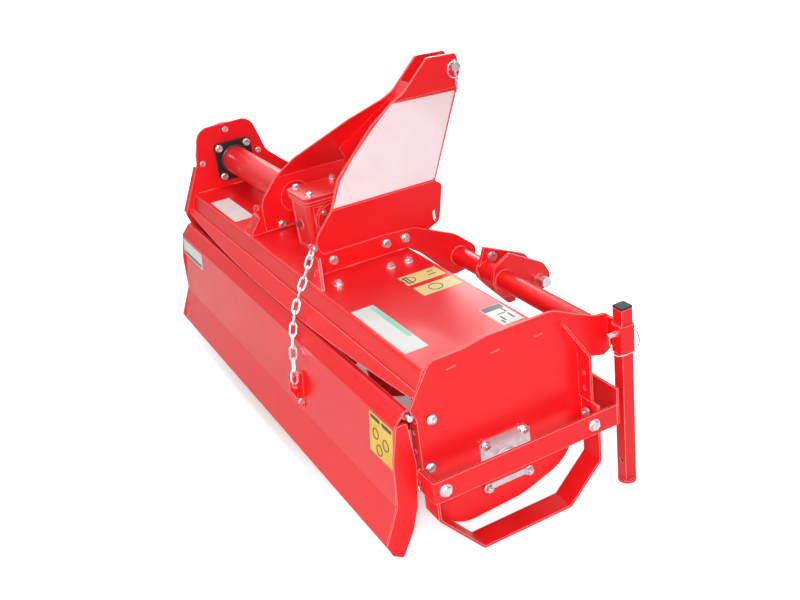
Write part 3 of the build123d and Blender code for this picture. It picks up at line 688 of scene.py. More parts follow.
@dataclass
class HexBolt:
    """Hexagon-headed bolt on a washer, its face chamfered.

    Attributes:
        across: Across the head's corners, in millimetres.
        head: Height of the head.
        washer: Radius of the washer.
        seat: Thickness of the washer.
        tip: Length of thread that shows past a nut, or 0 for a bolt's head.
    """

    # Bevels of the head, the washer and the thread's end, in millimetres.
    CHAMFER: ClassVar[float] = 1.3
    WASHER_EDGE: ClassVar[float] = 0.5
    THREAD_EDGE: ClassVar[float] = 0.8
    # The head's flat face is wider than FACE, and sinks by DISH inside a rim of width RIM.
    FACE: ClassVar[float] = 6.0
    RIM: ClassVar[float] = 1.6
    DISH: ClassVar[float] = 0.5
    # Radius of the thread, as a share of the width across the corners.
    THREAD: ClassVar[float] = 0.27

    across: float = 21.0
    head: float = 7.5
    washer: float = 12.5
    seat: float = 2.2
    tip: float = 0.0

    def build(self, name: str) -> bpy.types.Object:
        """Models the bolt with its seat on the origin and its head along +Z.

        Args:
            name: Name of the piece.

        Returns:
            The bolt.
        """
        head = disc(name, 6, self.across / 2, self.seat, self.head, self.CHAMFER)
        least = (self.FACE * MM) ** 2
        with editing(head):
            pick_faces(head, lambda f: f.normal.z > LEVEL and f.calc_area() > least)
            bpy.ops.mesh.inset(thickness=self.RIM * MM, depth=-self.DISH * MM)
        parts = [head, disc(name + "_washer", 28, self.washer, 0.0, self.seat, self.WASHER_EDGE)]
        if self.tip:
            radius, foot = self.across * self.THREAD, self.seat + self.head
            parts.append(disc(name + "_stud", 16, radius, foot, self.tip, self.THREAD_EDGE))
        return join(name, parts)


@dataclass
class DomedBolt:
    """Bolt with a smooth domed head.

    Attributes:
        radius: Radius of the head, in millimetres.
        height: Height of the head.
    """

    # The crown's faces look up by FLAT at least, and lie over CROWN of the head's height.
    FLAT: ClassVar[float] = 0.97
    CROWN: ClassVar[float] = 0.8
    # The crown sinks by DISH inside a rim of width RIM.
    RIM: ClassVar[float] = 0.8
    DISH: ClassVar[float] = 0.6

    radius: float = 13.0
    height: float = 8.0

    def build(self, name: str) -> bpy.types.Object:
        """Models the bolt with its seat on the origin and its head along +Z.

        Args:
            name: Name of the piece.

        Returns:
            The bolt.
        """
        add = bpy.ops.mesh.primitive_uv_sphere_add
        dome = primitive(name, add, segments=24, ring_count=12, radius=self.radius * MM)
        crown = self.CROWN * self.height * MM
        with editing(dome):
            bpy.ops.mesh.select_all(action="SELECT")
            bpy.ops.mesh.bisect(plane_co=(0, 0, 0), plane_no=(0, 0, 1), use_fill=True, clear_inner=True)
            bpy.ops.mesh.select_all(action="SELECT")
            bpy.ops.transform.resize(value=(1, 1, self.height / self.radius))
            pick_faces(dome, lambda f: f.normal.z > self.FLAT and f.calc_center_median().z > crown)
            bpy.ops.mesh.inset(thickness=self.RIM * MM, depth=-self.DISH * MM)
        return settle(dome, Matrix.Identity(4))


def set_fasteners(name: str, master: HexBolt | DomedBolt, places: Sequence[Matrix],
                  body: Body = Body.FRAME, finish: Finish = Finish.ZINC) -> None:
    """Models one fastener, copies it to each place and joins the copies.

    Args:
        name: Name of the group.
        master: The fastener.
        places: Where each copy goes.
        body: The body that the group rides on.
        finish: Their finish.
    """
    first = master.build(name)
    copies = []
    for place in places:
        copy = first.copy()
        copy.data = first.data.copy()
        bpy.context.scene.collection.objects.link(copy)
        copies.append(settle(copy, place))
    bpy.data.objects.remove(first)
    finish_piece(join(name, copies), finish, body)


# ---------------------------------------------------------------- labels


@dataclass
class Label:
    """Flat printed label that lies on a surface.

    Attributes:
        name: Name of the piece.
        corners: Its corners in the surface's own plane, in millimetres.
        finish: Its film.
        lift: Height of its foot above the surface.
        thick: Its thickness.
    """

    # Radius of a label's rounded corners, in millimetres.
    ROUNDED: ClassVar[float] = 2.5

    name: str
    corners: Sequence[Spot]
    finish: Finish
    lift: float = 0.15
    thick: float = 0.35

    def build(self, where: Matrix) -> bpy.types.Object:
        """Models the label and puts it on its surface.

        Args:
            where: Place of the surface's plane, its +Z outwards.

        Returns:
            The label.
        """
        piece = primitive(self.name, bpy.ops.mesh.primitive_circle_add, vertices=len(self.corners),
                          radius=0.01, fill_type="NGON")
        for vertex, (x, y) in zip(piece.data.vertices, self.corners):
            vertex.co = (x * MM, y * MM, self.lift * MM)
        with editing(piece):
            bpy.ops.mesh.select_all(action="SELECT")
            bpy.ops.mesh.bevel(offset=self.ROUNDED * MM, segments=3, affect="VERTICES")
            bpy.ops.mesh.select_all(action="SELECT")
            bpy.ops.mesh.extrude_region_move(TRANSFORM_OT_translate={"value": UP * self.thick * MM})
            bpy.ops.mesh.select_all(action="SELECT")
            bpy.ops.mesh.normals_make_consistent(inside=False)
        return settle(piece, where)


def rectangle(width: float, height: float, x: float = 0.0, y: float = 0.0) -> list[Spot]:
    """Corners of a rectangle.

    Args:
        width: Its width.
        height: Its height.
        x: Its middle along the width.
        y: Its middle along the height.

    Returns:
        The corners, anticlockwise.
    """
    w, h = width / 2, height / 2
    return [(x - w, y - h), (x + w, y - h), (x + w, y + h), (x - w, y + h)]


# ---------------------------------------------------------------- sub-assemblies


@dataclass
class CadFinishes:
    """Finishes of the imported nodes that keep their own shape.

    Attributes:
        special: The nodes that aren't plain red, by finish.
    """

    special: dict[Finish, tuple[str, ...]] = field(default_factory=lambda: {
        Finish.ZINC: (
            "top_link_pin", "lower_link_pin_right", "lower_link_pin_left", "hinge_rod",
            "shackle_pin", "stand_pin", "lug_bolt", "shackle", "lifting_chain",
        ),
        Finish.GALVANISED: ("bearing_plate", "bearing_strap"),
        Finish.STEEL: ("pto_shaft",),
        Finish.BLACK: ("trumpet_flange",),
        Finish.RUBBER: ("stand_cap",),
        Finish.CASTING: ("gearbox_housing", "gearbox_lid", "gearbox_cover"),
    })

    def apply(self) -> None:
        """Dresses every node."""
        finishes = {name: finish for finish, names in self.special.items() for name in names}
        for name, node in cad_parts.items():
            finish = finishes.get(name, Finish.RED)
            for slot in node.material_slots:
                slot.material = finish.material()
            log.info("%s: %s", name, finish.name.lower())


@dataclass
class Fasteners:
    """Bolts and nuts that show from outside.

    A spot is (u, v) on an upright plate, in millimetres from the rotor's axis.

    Attributes:
        datum: Where places are measured from.
        turns: How far each head is turned from the last: on a plate, on a rear face, on a top.
        rear_turn: Turn of the first head on a rear face.
        rear_edge: Rear face of the right plate's fold, forwards of the rotor's axis.
        fold_middle: Middle of the fold, across from its inner edge.
        stiffener_rear: Rear face of the front stiffener, forwards of the rotor's axis.
        stiffener_middle: Middle of the stiffener, across from the plate's outer face.
        bracket: Thickness of a hitch bracket and of a clevis.
        mast_plate: Thickness of a mast plate.
        domed: Spots of the right plate's domed bolts.
        bearing: Spots of the end bearing's bolts, those of its strap last.
        guard: The guard bar's bolts, forwards of the rotor's axis.
        fold: Heights of the fold's bolts.
        stiffener: Heights of the stiffener's nuts.
        case: Spots of the gear case's bolts.
        on_bracket: Spots of the bolts through each hitch bracket.
        feet_across: The bolts in the brackets' feet, across the machine.
        feet_forward: The same bolts, forwards of the rotor's axis.
        mast_foot: Spot of the left mast plate's own bolt.
        clevis: Spot of the right clevis's bolt.
        lid_across: The lid's bolts, across the machine.
        lid_forward: The same bolts, forwards of the rotor's axis.
        oil: The oil plug, across the machine and up from the rotor's axis.
        cover_circle: Radius of the circle of the cover's bolts.
        flange_half: Half the side of the square of the flange's bolts.
        lug_nut: Seat of the lug's nut, across from the bolt's left end.
        lug_foot: Spot of the bolt in the lug's foot.
    """

    datum: Datum
    turns: Point = (13.0, 9.0, 14.0)
    rear_turn: float = 20.0
    rear_edge: float = -205.0
    fold_middle: float = 13.0
    stiffener_rear: float = 207.0
    stiffener_middle: float = 26.0
    bracket: float = 10.0
    mast_plate: float = 8.0
    domed: Sequence[Spot] = ((-171, 174), (-188, 60))
    bearing: Sequence[Spot] = ((-52, 58), (50, 60), (-54, -52), (54, -52))
    guard: Spot = (-190, 197)
    fold: Spot = (45, 4)
    stiffener: Spot = (53, 21)
    case: Sequence[Spot] = ((-30, 478), (-128, 384), (68, 384))
    on_bracket: Sequence[Spot] = ((-92, 320), (62, 320), (118, 319))
    feet_across: Spot = (-293, 293)
    feet_forward: Point = (-123, 26, 77)
    mast_foot: Spot = (-76, 305)
    clevis: Spot = (294, 256)
    lid_across: Spot = (-46, 46)
    lid_forward: Spot = (-67, 42)
    oil: Spot = (-8, 358)
    cover_circle: float = 35.0
    flange_half: float = 48.0
    lug_nut: float = 9.0
    lug_foot: Spot = (-276, 15)

    def build(self) -> None:
        """Sets every group of fasteners."""
        self.side_plate()
        self.gear_case()
        self.headstock()
        self.gearbox()
        self.flange()
        self.tailboard()

    def _on(self, x: float, spots: Sequence[Spot], side: int = 1) -> list[Matrix]:
        """Places on a plane across the machine.

        Args:
            x: The plane, in millimetres.
            spots: Points (u, v) on it.
            side: 1 if the heads point right, -1 if left.

        Returns:
            The places.
        """
        out = RIGHT * side
        return [facing(self.datum.at(x, *spot), out, self.turns[0] * i)
                for i, spot in enumerate(spots)]

    def _rear(self, x: float, u: float, heights: Sequence[float]) -> list[Matrix]:
        """Places on a face that looks backwards.

        Args:
            x: Across the machine, in millimetres.
            u: The face, forwards of the rotor's axis.
            heights: Heights over the rotor's axis.

        Returns:
            The places.
        """
        return [facing(self.datum.at(x, u, v), -FORWARD, self.rear_turn + self.turns[1] * i)
                for i, v in enumerate(heights)]

    def _top(self, node: str, across: Sequence[float], forward: Sequence[float]) -> list[Matrix]:
        """Places on a node's flat top.

        Args:
            node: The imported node.
            across: Distances across the machine.
            forward: Distances forwards of the rotor's axis.

        Returns:
            The places, one for each pair.
        """
        top = self.datum.height(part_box(node)[1].z)
        points = [self.datum.at(x, u, top) for x in across for u in forward]
        return [facing(point, UP, self.turns[2] * i) for i, point in enumerate(points)]

    def side_plate(self) -> None:
        """Bolts of the right end plate, its bearing, the skid, the guard and the stiffener."""
        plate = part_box("bearing_plate")[0].x / MM
        set_fasteners("plate_domed_bolts", DomedBolt(), self._on(plate, self.domed))
        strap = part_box("bearing_strap")[1].x / MM
        bolt = HexBolt(19.0, 8.0, 12.0, tip=4.0)
        set_fasteners("bearing_bolts", bolt, self._on(strap, self.bearing))
        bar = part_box("guard_bar")[1].x / MM
        height = self.datum.middle("guard_bar")[2]
        spots = [(u, height) for u in self.guard]
        set_fasteners("guard_bolts", HexBolt(24.0, 6.4, 15.0, 2.0), self._on(bar, spots))
        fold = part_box("side_plate_right")[0].x / MM + self.fold_middle
        on_fold = self._rear(fold, self.rear_edge, self.fold)
        set_fasteners("fold_bolts", HexBolt(19.0, 7.0, 11.0), on_fold)
        across = plate + self.stiffener_middle
        on_stiffener = self._rear(across, self.stiffener_rear, self.stiffener)
        set_fasteners("stiffener_nuts", HexBolt(19.0, 7.0, 11.0, tip=5.0), on_stiffener)

    def gear_case(self) -> None:
        """Bolts that hold the gear case, their heads on the left plate's inner face."""
        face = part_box("trumpet_flange")[0].x / MM
        set_fasteners("case_bolts", HexBolt(18.0, 6.0, 9.5), self._on(face, self.case))

    def headstock(self) -> None:
        """Bolts of the mast plates, the hitch brackets and their feet, and the right clevis."""
        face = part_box("mast_plate_right")[1].x / MM + self.bracket
        set_fasteners("bracket_bolts_right", HexBolt(), self._on(face, self.on_bracket))
        set_fasteners("bracket_bolts_left", HexBolt(), self._on(-face, self.on_bracket, -1))
        feet = self._top("deck", self.feet_across, self.feet_forward)
        set_fasteners("deck_bolts", HexBolt(), feet)
        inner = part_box("mast_plate_left")[0].x / MM + self.mast_plate
        set_fasteners("mast_foot_bolt", HexBolt(19.0), self._on(inner, [self.mast_foot]))
        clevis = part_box("lower_clevis_right")[0].x / MM + self.bracket
        set_fasteners("clevis_bolt", HexBolt(22.0, 9.0, 12.0), self._on(clevis, [self.clevis]))

    def gearbox(self) -> None:
        """Lid bolts, cover bolts and the oil plug."""
        lid = self._top("gearbox_lid", self.lid_across, self.lid_forward)
        set_fasteners("lid_bolts", HexBolt(19.0, 7.5, 10.5), lid)
        rear = self.datum.forward(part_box("gearbox_housing")[0].y)
        plug = self._rear(self.oil[0], rear, self.oil[1:])
        set_fasteners("oil_plug", HexBolt(15.0, 4.0, 8.0, 1.2), plug, finish=Finish.INK)
        _, u, v = self.datum.middle("gearbox_cover")
        angles = [math.radians(45 + 90 * i) for i in range(4)]
        spots = [(u + self.cover_circle * math.cos(a), v + self.cover_circle * math.sin(a))
                 for a in angles]
        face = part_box("gearbox_cover")[1].x / MM
        set_fasteners("cover_bolts", HexBolt(13.0, 5.0, 7.5), self._on(face, spots))

    def flange(self) -> None:
        """Bolts of the cross drive's flange."""
        _, u, v = self.datum.middle("trumpet_flange")
        corners = (-self.flange_half, self.flange_half)
        spots = [(u + du, v + dv) for du in corners for dv in corners]
        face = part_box("trumpet_flange")[1].x / MM
        set_fasteners("flange_bolts", HexBolt(22.0, 8.0), self._on(face, spots))

    def tailboard(self) -> None:
        """Nut of the lug's bolt, and the bolt in the lug's foot."""
        x, u, v = self.datum.middle("lug_bolt")
        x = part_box("lug_bolt")[0].x / MM + self.lug_nut
        place = facing(self.datum.at(x, u, v), -RIGHT)
        set_fasteners("lug_nut", HexBolt(17.0, 6.0, 9.0), [place], Body.TAILBOARD)
        foot = self._on(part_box("chain_lug")[1].x / MM, [self.lug_foot])
        set_fasteners("lug_foot_bolt", HexBolt(15.0, 5.0, 8.5), foot, Body.TAILBOARD)


@dataclass
class Wire:
    """Round wire bent along points.

    Attributes:
        radius: Radius of the wire, in millimetres.
        points: Points of its middle line, in metres.
        closed: Whether its ends meet.
    """

    radius: float
    points: Sequence[Vector]
    closed: bool = False

    def build(self) -> bpy.types.Object:
        """Models the wire.

        Returns:
            The wire.
        """
        curve = bpy.data.curves.new("wire", "CURVE")
        curve.dimensions = "3D"
        spline = curve.splines.new("BEZIER")
        spline.bezier_points.add(len(self.points) - 1)
        for knot, point in zip(spline.bezier_points, self.points):
            knot.co = point
            knot.handle_left_type = knot.handle_right_type = "AUTO"
        spline.use_cyclic_u = self.closed
        curve.bevel_depth = self.radius * MM
        curve.bevel_resolution = 2
        curve.resolution_u = 6
        curve.use_fill_caps = True
        wire = bpy.data.objects.new("wire", curve)
        bpy.context.scene.collection.objects.link(wire)
        bpy.ops.object.select_all(action="DESELECT")
        wire.select_set(True)
        bpy.context.view_layer.objects.active = wire
        bpy.ops.object.convert(target="MESH")
        return bpy.context.active_object


@dataclass
class Hoop:
    """Closed oval of wire.

    Attributes:
        radius: Radius of the wire, in millimetres.
        wide: Half the oval's width.
        long: Half its length.
        count: Number of points round it.
    """

    radius: float
    wide: float
    long: float
    count: int = 12

    def build(self, centre: Vector, across: Vector, along: Vector) -> bpy.types.Object:
        """Models the hoop.

        Args:
            centre: Its middle, in metres.
            across: Direction of its width.
            along: Direction of its length.

        Returns:
            The hoop.
        """
        turns = [2 * math.pi * i / self.count for i in range(self.count)]
        points = [centre + (across * self.wide * math.cos(a) + along * self.long * math.sin(a)) * MM
                  for a in turns]
        return Wire(self.radius, points, True).build()


@dataclass
class Wirework:
    """Lynch pin with its ring and keeper chain, and the stand pin's spring loop.

    Attributes:
        datum: Where places are measured from.
        hole: Middle of the lynch pin, inwards of the top link pin's end, in millimetres.
        bar: Radius of the lynch pin.
        bar_heights: Points along it, over the top link pin's axis.
        head: Radius of its head.
        head_heights: Points along the head.
        ring: Its ring.
        ring_middle: Middle of the ring, from the top link pin's end.
        chain_start: Top of the keeper chain, from the top link pin's end.
        chain_end: Foot of the keeper chain, from the same place.
        link: A link of the keeper chain.
        link_count: Number of its links.
        spring: Radius of the stand pin's spring wire.
        under: How far below the sleeve's foot the wire's middle passes.
        beside: How far inside the sleeve's right face it passes.
        sleeve_half: From the sleeve's front face to the middle of the loop.
        stub: Radius of the stand pin's far end.
        stub_reach: Points along it, from the sleeve's front face.
    """

    datum: Datum
    hole: float = 6.0
    bar: float = 3.2
    bar_heights: Point = (19, 0, -24)
    head: float = 5.0
    head_heights: Point = (13, 17, 21)
    ring: Hoop = field(default_factory=lambda: Hoop(1.8, 20, 22, 16))
    ring_middle: Point = (2.5, -8, -5)
    chain_start: Point = (-3, -2, -30)
    chain_end: Point = (-9, 6, -72)
    link: Hoop = field(default_factory=lambda: Hoop(1.3, 3.85, 7.0, 8))
    link_count: int = 4
    spring: float = 1.4
    under: float = 1.6
    beside: float = 2.0
    sleeve_half: float = 19.0
    stub: float = 5.6
    stub_reach: Point = (0.2, 4, 8)

    def build(self) -> None:
        """Builds every piece of wirework."""
        self.lynch_pin()
        self.keeper_chain()
        self.stand_loop()

    def _from_pin(self, off: Point) -> Vector:
        """Point near the right end of the top link pin.

        Args:
            off: Its distance (x, u, v) from the middle of that end.

        Returns:
            The point.
        """
        _, u, v = self.datum.middle("top_link_pin")
        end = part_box("top_link_pin")[1].x / MM
        return self.datum.at(end + off[0], u + off[1], v + off[2])

    def lynch_pin(self) -> None:
        """Pin down through the top link pin's end, with its big ring."""
        bar, head = (
            Wire(radius, [self._from_pin((-self.hole, 0, z)) for z in heights]).build()
            for radius, heights in ((self.bar, self.bar_heights), (self.head, self.head_heights))
        )
        loop = self.ring.build(self._from_pin(self.ring_middle), FORWARD, UP)
        finish_piece(join("lynch_pin", [bar, head, loop]), Finish.ZINC, Body.FRAME)

    def keeper_chain(self) -> None:
        """Small chain from the lynch pin's ring down the mast's front edge."""
        start, end = self._from_pin(self.chain_start), self._from_pin(self.chain_end)
        ahead = (end - start).normalized()
        side = ahead.orthogonal().normalized()
        links = []
        for i in range(self.link_count):
            middle = start.lerp(end, (i + 0.5) / self.link_count)
            wide = (side if i % 2 else side.cross(ahead)).normalized()
            links.append(self.link.build(middle, wide, ahead))
        finish_piece(join("keeper_chain", links), Finish.ZINC, Body.FRAME)

    def stand_loop(self) -> None:
        """Spring wire from the stand pin's head, under the sleeve and up to the pin's far end."""
        x, _, v = self.datum.middle("stand_pin")
        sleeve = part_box("stand_sleeve")
        rear = self.datum.forward(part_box("stand_pin")[0].y)
        front = self.datum.forward(sleeve[1].y)
        middle = front - self.sleeve_half
        right = sleeve[1].x / MM
        foot = self.datum.height(sleeve[0].z)
        side, low = right - self.beside, foot - self.under
        route = [
            (x, rear + 5, v - 4), (x + 4, rear + 4, v - 24), (right - 7, middle - 32, foot + 3),
            (side - 0.2, middle - 15, low + 0.1), (side, middle, low),
            (side - 0.2, middle + 15, low + 0.1), (right - 7, middle + 32, foot + 5),
            (x + 4, front + 20, v - 22), (x, front + 12, v - 6), (x, front + 6, v),
        ]
        loop = Wire(self.spring, [self.datum.at(*point) for point in route]).build()
        stub = Wire(self.stub, [self.datum.at(x, front + u, v) for u in self.stub_reach]).build()
        finish_piece(join("stand_loop", [loop, stub]), Finish.ZINC, Body.FRAME)


@dataclass
class Welds:
    """Rings, rims and weld beads where pieces meet.

    Attributes:
        datum: Where places are measured from.
        bead: Radius of a weld bead, in millimetres.
        proud: How far a bead's middle line stands off a tube.
        lift: How far a bead's middle line stands off the deck.
        sunk: How far a foot's bead stands off the bracket, as a share of the bead's radius.
        bracket: Thickness of a hitch bracket.
        flange_wire: Radius of the rings at the flange.
        flange_step: Distance between them.
        ring_gap: From the flange's tube to the rings' middle line.
        rim_foot: The cap's lower rim: from the cap's foot, its radius and its wire.
        rim_tip: The cap's upper rim: from the cap's tip, its radius and its wire.
        on_tube: The nodes that the cross tube is welded to.
        bracket_runs: Ends of the beads along a bracket's foot, forwards of the rotor's axis.
        plate_runs: Ends of the beads along an end plate.
        plate_inset: Distance of those beads from the deck's ends.
        mark: Radius of a weld mark.
        mark_half: Half its length.
        mark_slope: Its rise for each step forwards.
        mark_lift: How far its middle line stands off the plate.
        marks: Spots (u, v) of the marks.
    """

    datum: Datum
    bead: float = 2.6
    proud: float = 0.6
    lift: float = 0.4
    sunk: float = 0.4
    bracket: float = 10.0
    flange_wire: float = 4.0
    flange_step: float = 5.0
    ring_gap: float = 1.5
    rim_foot: Point = (5.0, 31.0, 2.2)
    rim_tip: Point = (-1.0, 19.0, 1.6)
    on_tube: Sequence[str] = (
        "hitch_bracket_right", "hitch_bracket_left", "lower_clevis_right", "lower_clevis_left",
    )
    bracket_runs: Sequence[Spot] = ((-150, -118), (-60, -22), (92, 112))
    plate_runs: Sequence[Spot] = ((-160, -110), (-40, 10), (60, 105))
    plate_inset: float = 2.0
    mark: float = 1.8
    mark_half: float = 11.0
    mark_slope: float = 0.1
    mark_lift: float = 0.2
    marks: Sequence[Spot] = ((-112, 276), (-3, 274), (108, 273))

    def build(self) -> None:
        """Builds every bead and ring."""
        self.flange_ring()
        self.bearing_rims()
        self.tube_beads()
        self.deck_beads()
        self.plate_marks()

    def _round(self, x: float, node: str, radius: float, wire: float) -> bpy.types.Object:
        """Bead round a tube across the machine.

        Args:
            x: Where it is, in millimetres.
            node: The tube.
            radius: Radius of the bead's middle line.
            wire: Radius of the bead.

        Returns:
            The bead.
        """
        _, u, v = self.datum.middle(node)
        return Hoop(wire, radius, radius, 24).build(self.datum.at(x, u, v), FORWARD, UP)

    def flange_ring(self) -> None:
        """Black rings round the cross drive's tube at its flange."""
        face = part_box("trumpet_flange")[1].x / MM
        low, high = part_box("trumpet_tube")
        radius = (high.y - low.y) / 2 / MM + self.ring_gap
        places = [face + self.flange_wire + self.flange_step * i for i in range(2)]
        rings = [self._round(x, "trumpet_tube", radius, self.flange_wire) for x in places]
        finish_piece(join("flange_ring", rings), Finish.BLACK, Body.FRAME)

    def bearing_rims(self) -> None:
        """Rolled rims round the end bearing's pressed cap."""
        ends = zip(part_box("bearing_plate"), (self.rim_foot, self.rim_tip))
        rims = [self._round(end.x / MM + off, "rotor_shaft", radius, wire)
                for end, (off, radius, wire) in ends]
        finish_piece(join("bearing_rims", rims), Finish.GALVANISED, Body.FRAME)

    def tube_beads(self) -> None:
        """Weld beads round the cross tube at its brackets and clevises."""
        low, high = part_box("cross_tube")
        radius = (high.z - low.z) / 2 / MM + self.proud
        beads = []
        for node in self.on_tube:
            left, right = (point.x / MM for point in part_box(node))
            if "bracket" in node and left > 0:
                right = left + self.bracket
            elif "bracket" in node:
                left = right - self.bracket
            beads += [self._round(x, "cross_tube", radius, self.bead) for x in (left, right)]
        finish_piece(join("tube_weld_beads", beads), Finish.RED, Body.FRAME)

    def _runs(self, x: float, runs: Sequence[Spot]) -> list[bpy.types.Object]:
        """Straight beads on the deck's top.

        Args:
            x: Where they are across the machine.
            runs: Both ends of each bead.

        Returns:
            The beads.
        """
        top = self.datum.height(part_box("deck")[1].z) + self.lift
        beads = []
        for start, end in runs:
            steps = (start, (start + end) / 2, end)
            beads.append(Wire(self.bead, [self.datum.at(x, u, top) for u in steps]).build())
        return beads

    def deck_beads(self) -> None:
        """Short weld beads along the feet of the hitch brackets and the side plates."""
        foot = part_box("mast_plate_right")[1].x / MM + self.bracket + self.bead * self.sunk
        low, high = (point.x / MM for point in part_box("deck"))
        beads = self._runs(foot, self.bracket_runs) + self._runs(-foot, self.bracket_runs)
        beads += self._runs(low + self.plate_inset, self.plate_runs)
        beads += self._runs(high - self.plate_inset, self.plate_runs)
        finish_piece(join("deck_weld_beads", beads), Finish.RED, Body.FRAME)

    def plate_marks(self) -> None:
        """Weld marks where the deck's edge shows through the right plate's outer face."""
        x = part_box("bearing_plate")[0].x / MM + self.mark_lift
        marks = []
        for u, v in self.marks:
            steps = [(d, d * self.mark_slope) for d in (-self.mark_half, 0, self.mark_half)]
            line = [self.datum.at(x, u + along, v + rise) for along, rise in steps]
            marks.append(Wire(self.mark, line).build())
        finish_piece(join("plate_weld_marks", marks), Finish.RED, Body.FRAME)


@dataclass(frozen=True)
class Print:
    """One coloured area of a label.

    Attributes:
        name: Name of the piece.
        finish: Its film.
        place: Place of the label: x and u on the deck, or x and the distance down the tailboard.
        width: Its width, in millimetres.
        height: Its height.
        offset: Its middle, from the label's place.
        raised: Whether it lies on another film.
    """

    name: str
    finish: Finish
    place: Spot
    width: float
    height: float
    offset: Spot = (0.0, 0.0)
    raised: bool = False

    def build(self, where: Matrix) -> bpy.types.Object:
        """Models the area.

        Args:
            where: Place of the label's plane.

        Returns:
            The area.
        """
        corners = rectangle(self.width, self.height, *self.offset)
        lift = Labels.PRINTED if self.raised else Labels.FILM
        return Label(self.name, corners, self.finish, lift).build(where)


@dataclass
class Labels:
    """Blank labels in plain colours, with bars, rings and triangles for marks.

    Attributes:
        datum: Where places are measured from.
        sheet: Thickness of the tailboard.
        panel_low: The mast plate's lower fold, as x and v, in millimetres.
        panel_top: Its upper fold.
        panel_outline: Corners (u, v) of the pale panel.
        on_deck: Coloured areas on the hood.
        bars: Bars on the hood's labels: each label's place, and the bars' middles and sizes.
        rings: Middles (x, u) of the rings on the hood's labels.
        tail_top: Top of the tailboard's flat, as u and v.
        tail_foot: Its foot.
        on_tail: Coloured areas on the tailboard.
        signs: Middles of the tailboard's marks, as x and the distance down it.
        figure: A ring on the hood's labels.
        sign: A mark on the tailboard's label.
        bar_thick: Thickness of a bar.
        mark_lift: Height of a ring's or a mark's middle line over its surface.
    """

    # Heights of a film's foot over its surface, and of what lies on a film.
    FILM: ClassVar[float] = 0.15
    PRINTED: ClassVar[float] = 0.55

    datum: Datum
    sheet: float = 4.0
    panel_low: Spot = (197.0, 445.0)
    panel_top: Spot = (34.0, 632.0)
    panel_outline: Sequence[Spot] = (
        (-66, 449), (228, 449), (234, 452), (408, 624), (212, 629), (196, 621), (126, 585),
        (40, 536), (-19, 497), (-50, 464),
    )
    on_deck: Sequence[Print] = (
        Print("white_label", Finish.WHITE, (590, -140), 262, 58),
        Print("mint_band", Finish.MINT, (590, -140), 186, 12, (-28, 21), True),
        Print("yellow_label_inner", Finish.PALE_YELLOW, (396, 57), 58, 106),
        Print("yellow_label_outer", Finish.PALE_YELLOW, (473, 59), 56, 108),
        Print("figure_plate", Finish.WHITE, (703, 86), 100, 54),
        Print("figure_plate_edge", Finish.INK, (703, 86), 22, 50, (-37, 0), True),
        Print("far_white_label", Finish.WHITE, (-474, -134), 236, 62),
    )
    bars: Sequence[tuple[Spot, Sequence[tuple[float, float, float, float]]]] = (
        ((396, 57), ((0, -44, 46, 4), (0, -36, 46, 3), (-12, 30, 4, 18), (6, 26, 4, 22))),
        ((703, 86), (
            (-14, 16, 22, 4), (18, 14, 30, 4), (-2, 2, 4, 22), (20, -8, 26, 4), (34, -16, 18, 4),
        )),
    )
    rings: Sequence[Spot] = ((396, 20), (473, 52))
    tail_top: Spot = (-248, 172)
    tail_foot: Spot = (-270, -18)
    on_tail: Sequence[Print] = (
        Print("yellow_tail_label", Finish.YELLOW, (730, 56), 108, 98),
        Print("tail_label_bar_left", Finish.INK, (704, 16), 44, 9, raised=True),
        Print("tail_label_bar_right", Finish.INK, (757, 16), 44, 9, raised=True),
        Print("pale_tail_label", Finish.WHITE, (-608, 37), 194, 52),
        Print("green_tail_band", Finish.GREEN, (-608, 54), 178, 11, raised=True),
    )
    signs: Sequence[Spot] = ((706, 52), (752, 60), (722, 86))
    figure: Hoop = field(default_factory=lambda: Hoop(1.1, 17, 17, 16))
    sign: Hoop = field(default_factory=lambda: Hoop(1.2, 13, 13, 3))
    bar_thick: float = 0.2
    mark_lift: float = 0.6

    def build(self) -> None:
        """Sets every label."""
        self.panel()
        self.deck()
        self.tailboard()

    def panel(self) -> None:
        """Pale panel over the sloping part of the right mast plate."""
        (low_x, low_v), (top_x, top_v) = self.panel_low, self.panel_top
        origin, top = self.datum.at(low_x, 0, low_v), self.datum.at(top_x, 0, top_v)
        up = (top - origin).normalized()
        turn = Matrix((FORWARD, up, FORWARD.cross(up))).transposed().to_4x4()
        scale = math.hypot(low_x - top_x, top_v - low_v) / (top_v - low_v)
        corners = [(u, (v - low_v) * scale) for u, v in self.panel_outline]
        label = Label("pale_panel", corners, Finish.PANEL).build(Matrix.Translation(origin) @ turn)
        finish_piece(label, Finish.PANEL, Body.FRAME)

    def _flat(self, x: float, u: float) -> Matrix:
        """Place of a label on the hood's flat top.

        Args:
            x: Across the machine, in millimetres.
            u: Forwards of the rotor's axis.

        Returns:
            The place.
        """
        point = self.datum.at(x, u, 0)
        point.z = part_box("deck")[1].z
        return Matrix.Translation(point)

    def deck(self) -> None:
        """Labels on the hood."""
        for area in self.on_deck:
            finish_piece(area.build(self._flat(*area.place)), area.finish, Body.FRAME)
        bars = []
        for place, rows in self.bars:
            for x, y, width, height in rows:
                corners = rectangle(width, height, x, y)
                bar = Label("bar", corners, Finish.INK, self.PRINTED, self.bar_thick)
                bars.append(bar.build(self._flat(*place)))
        finish_piece(join("deck_marks", bars), Finish.INK, Body.FRAME)
        middles = [self._flat(*spot).translation + UP * self.mark_lift * MM for spot in self.rings]
        rings = [self.figure.build(middle, RIGHT, FORWARD) for middle in middles]
        finish_piece(join("deck_ring_marks", rings), Finish.INK, Body.FRAME)

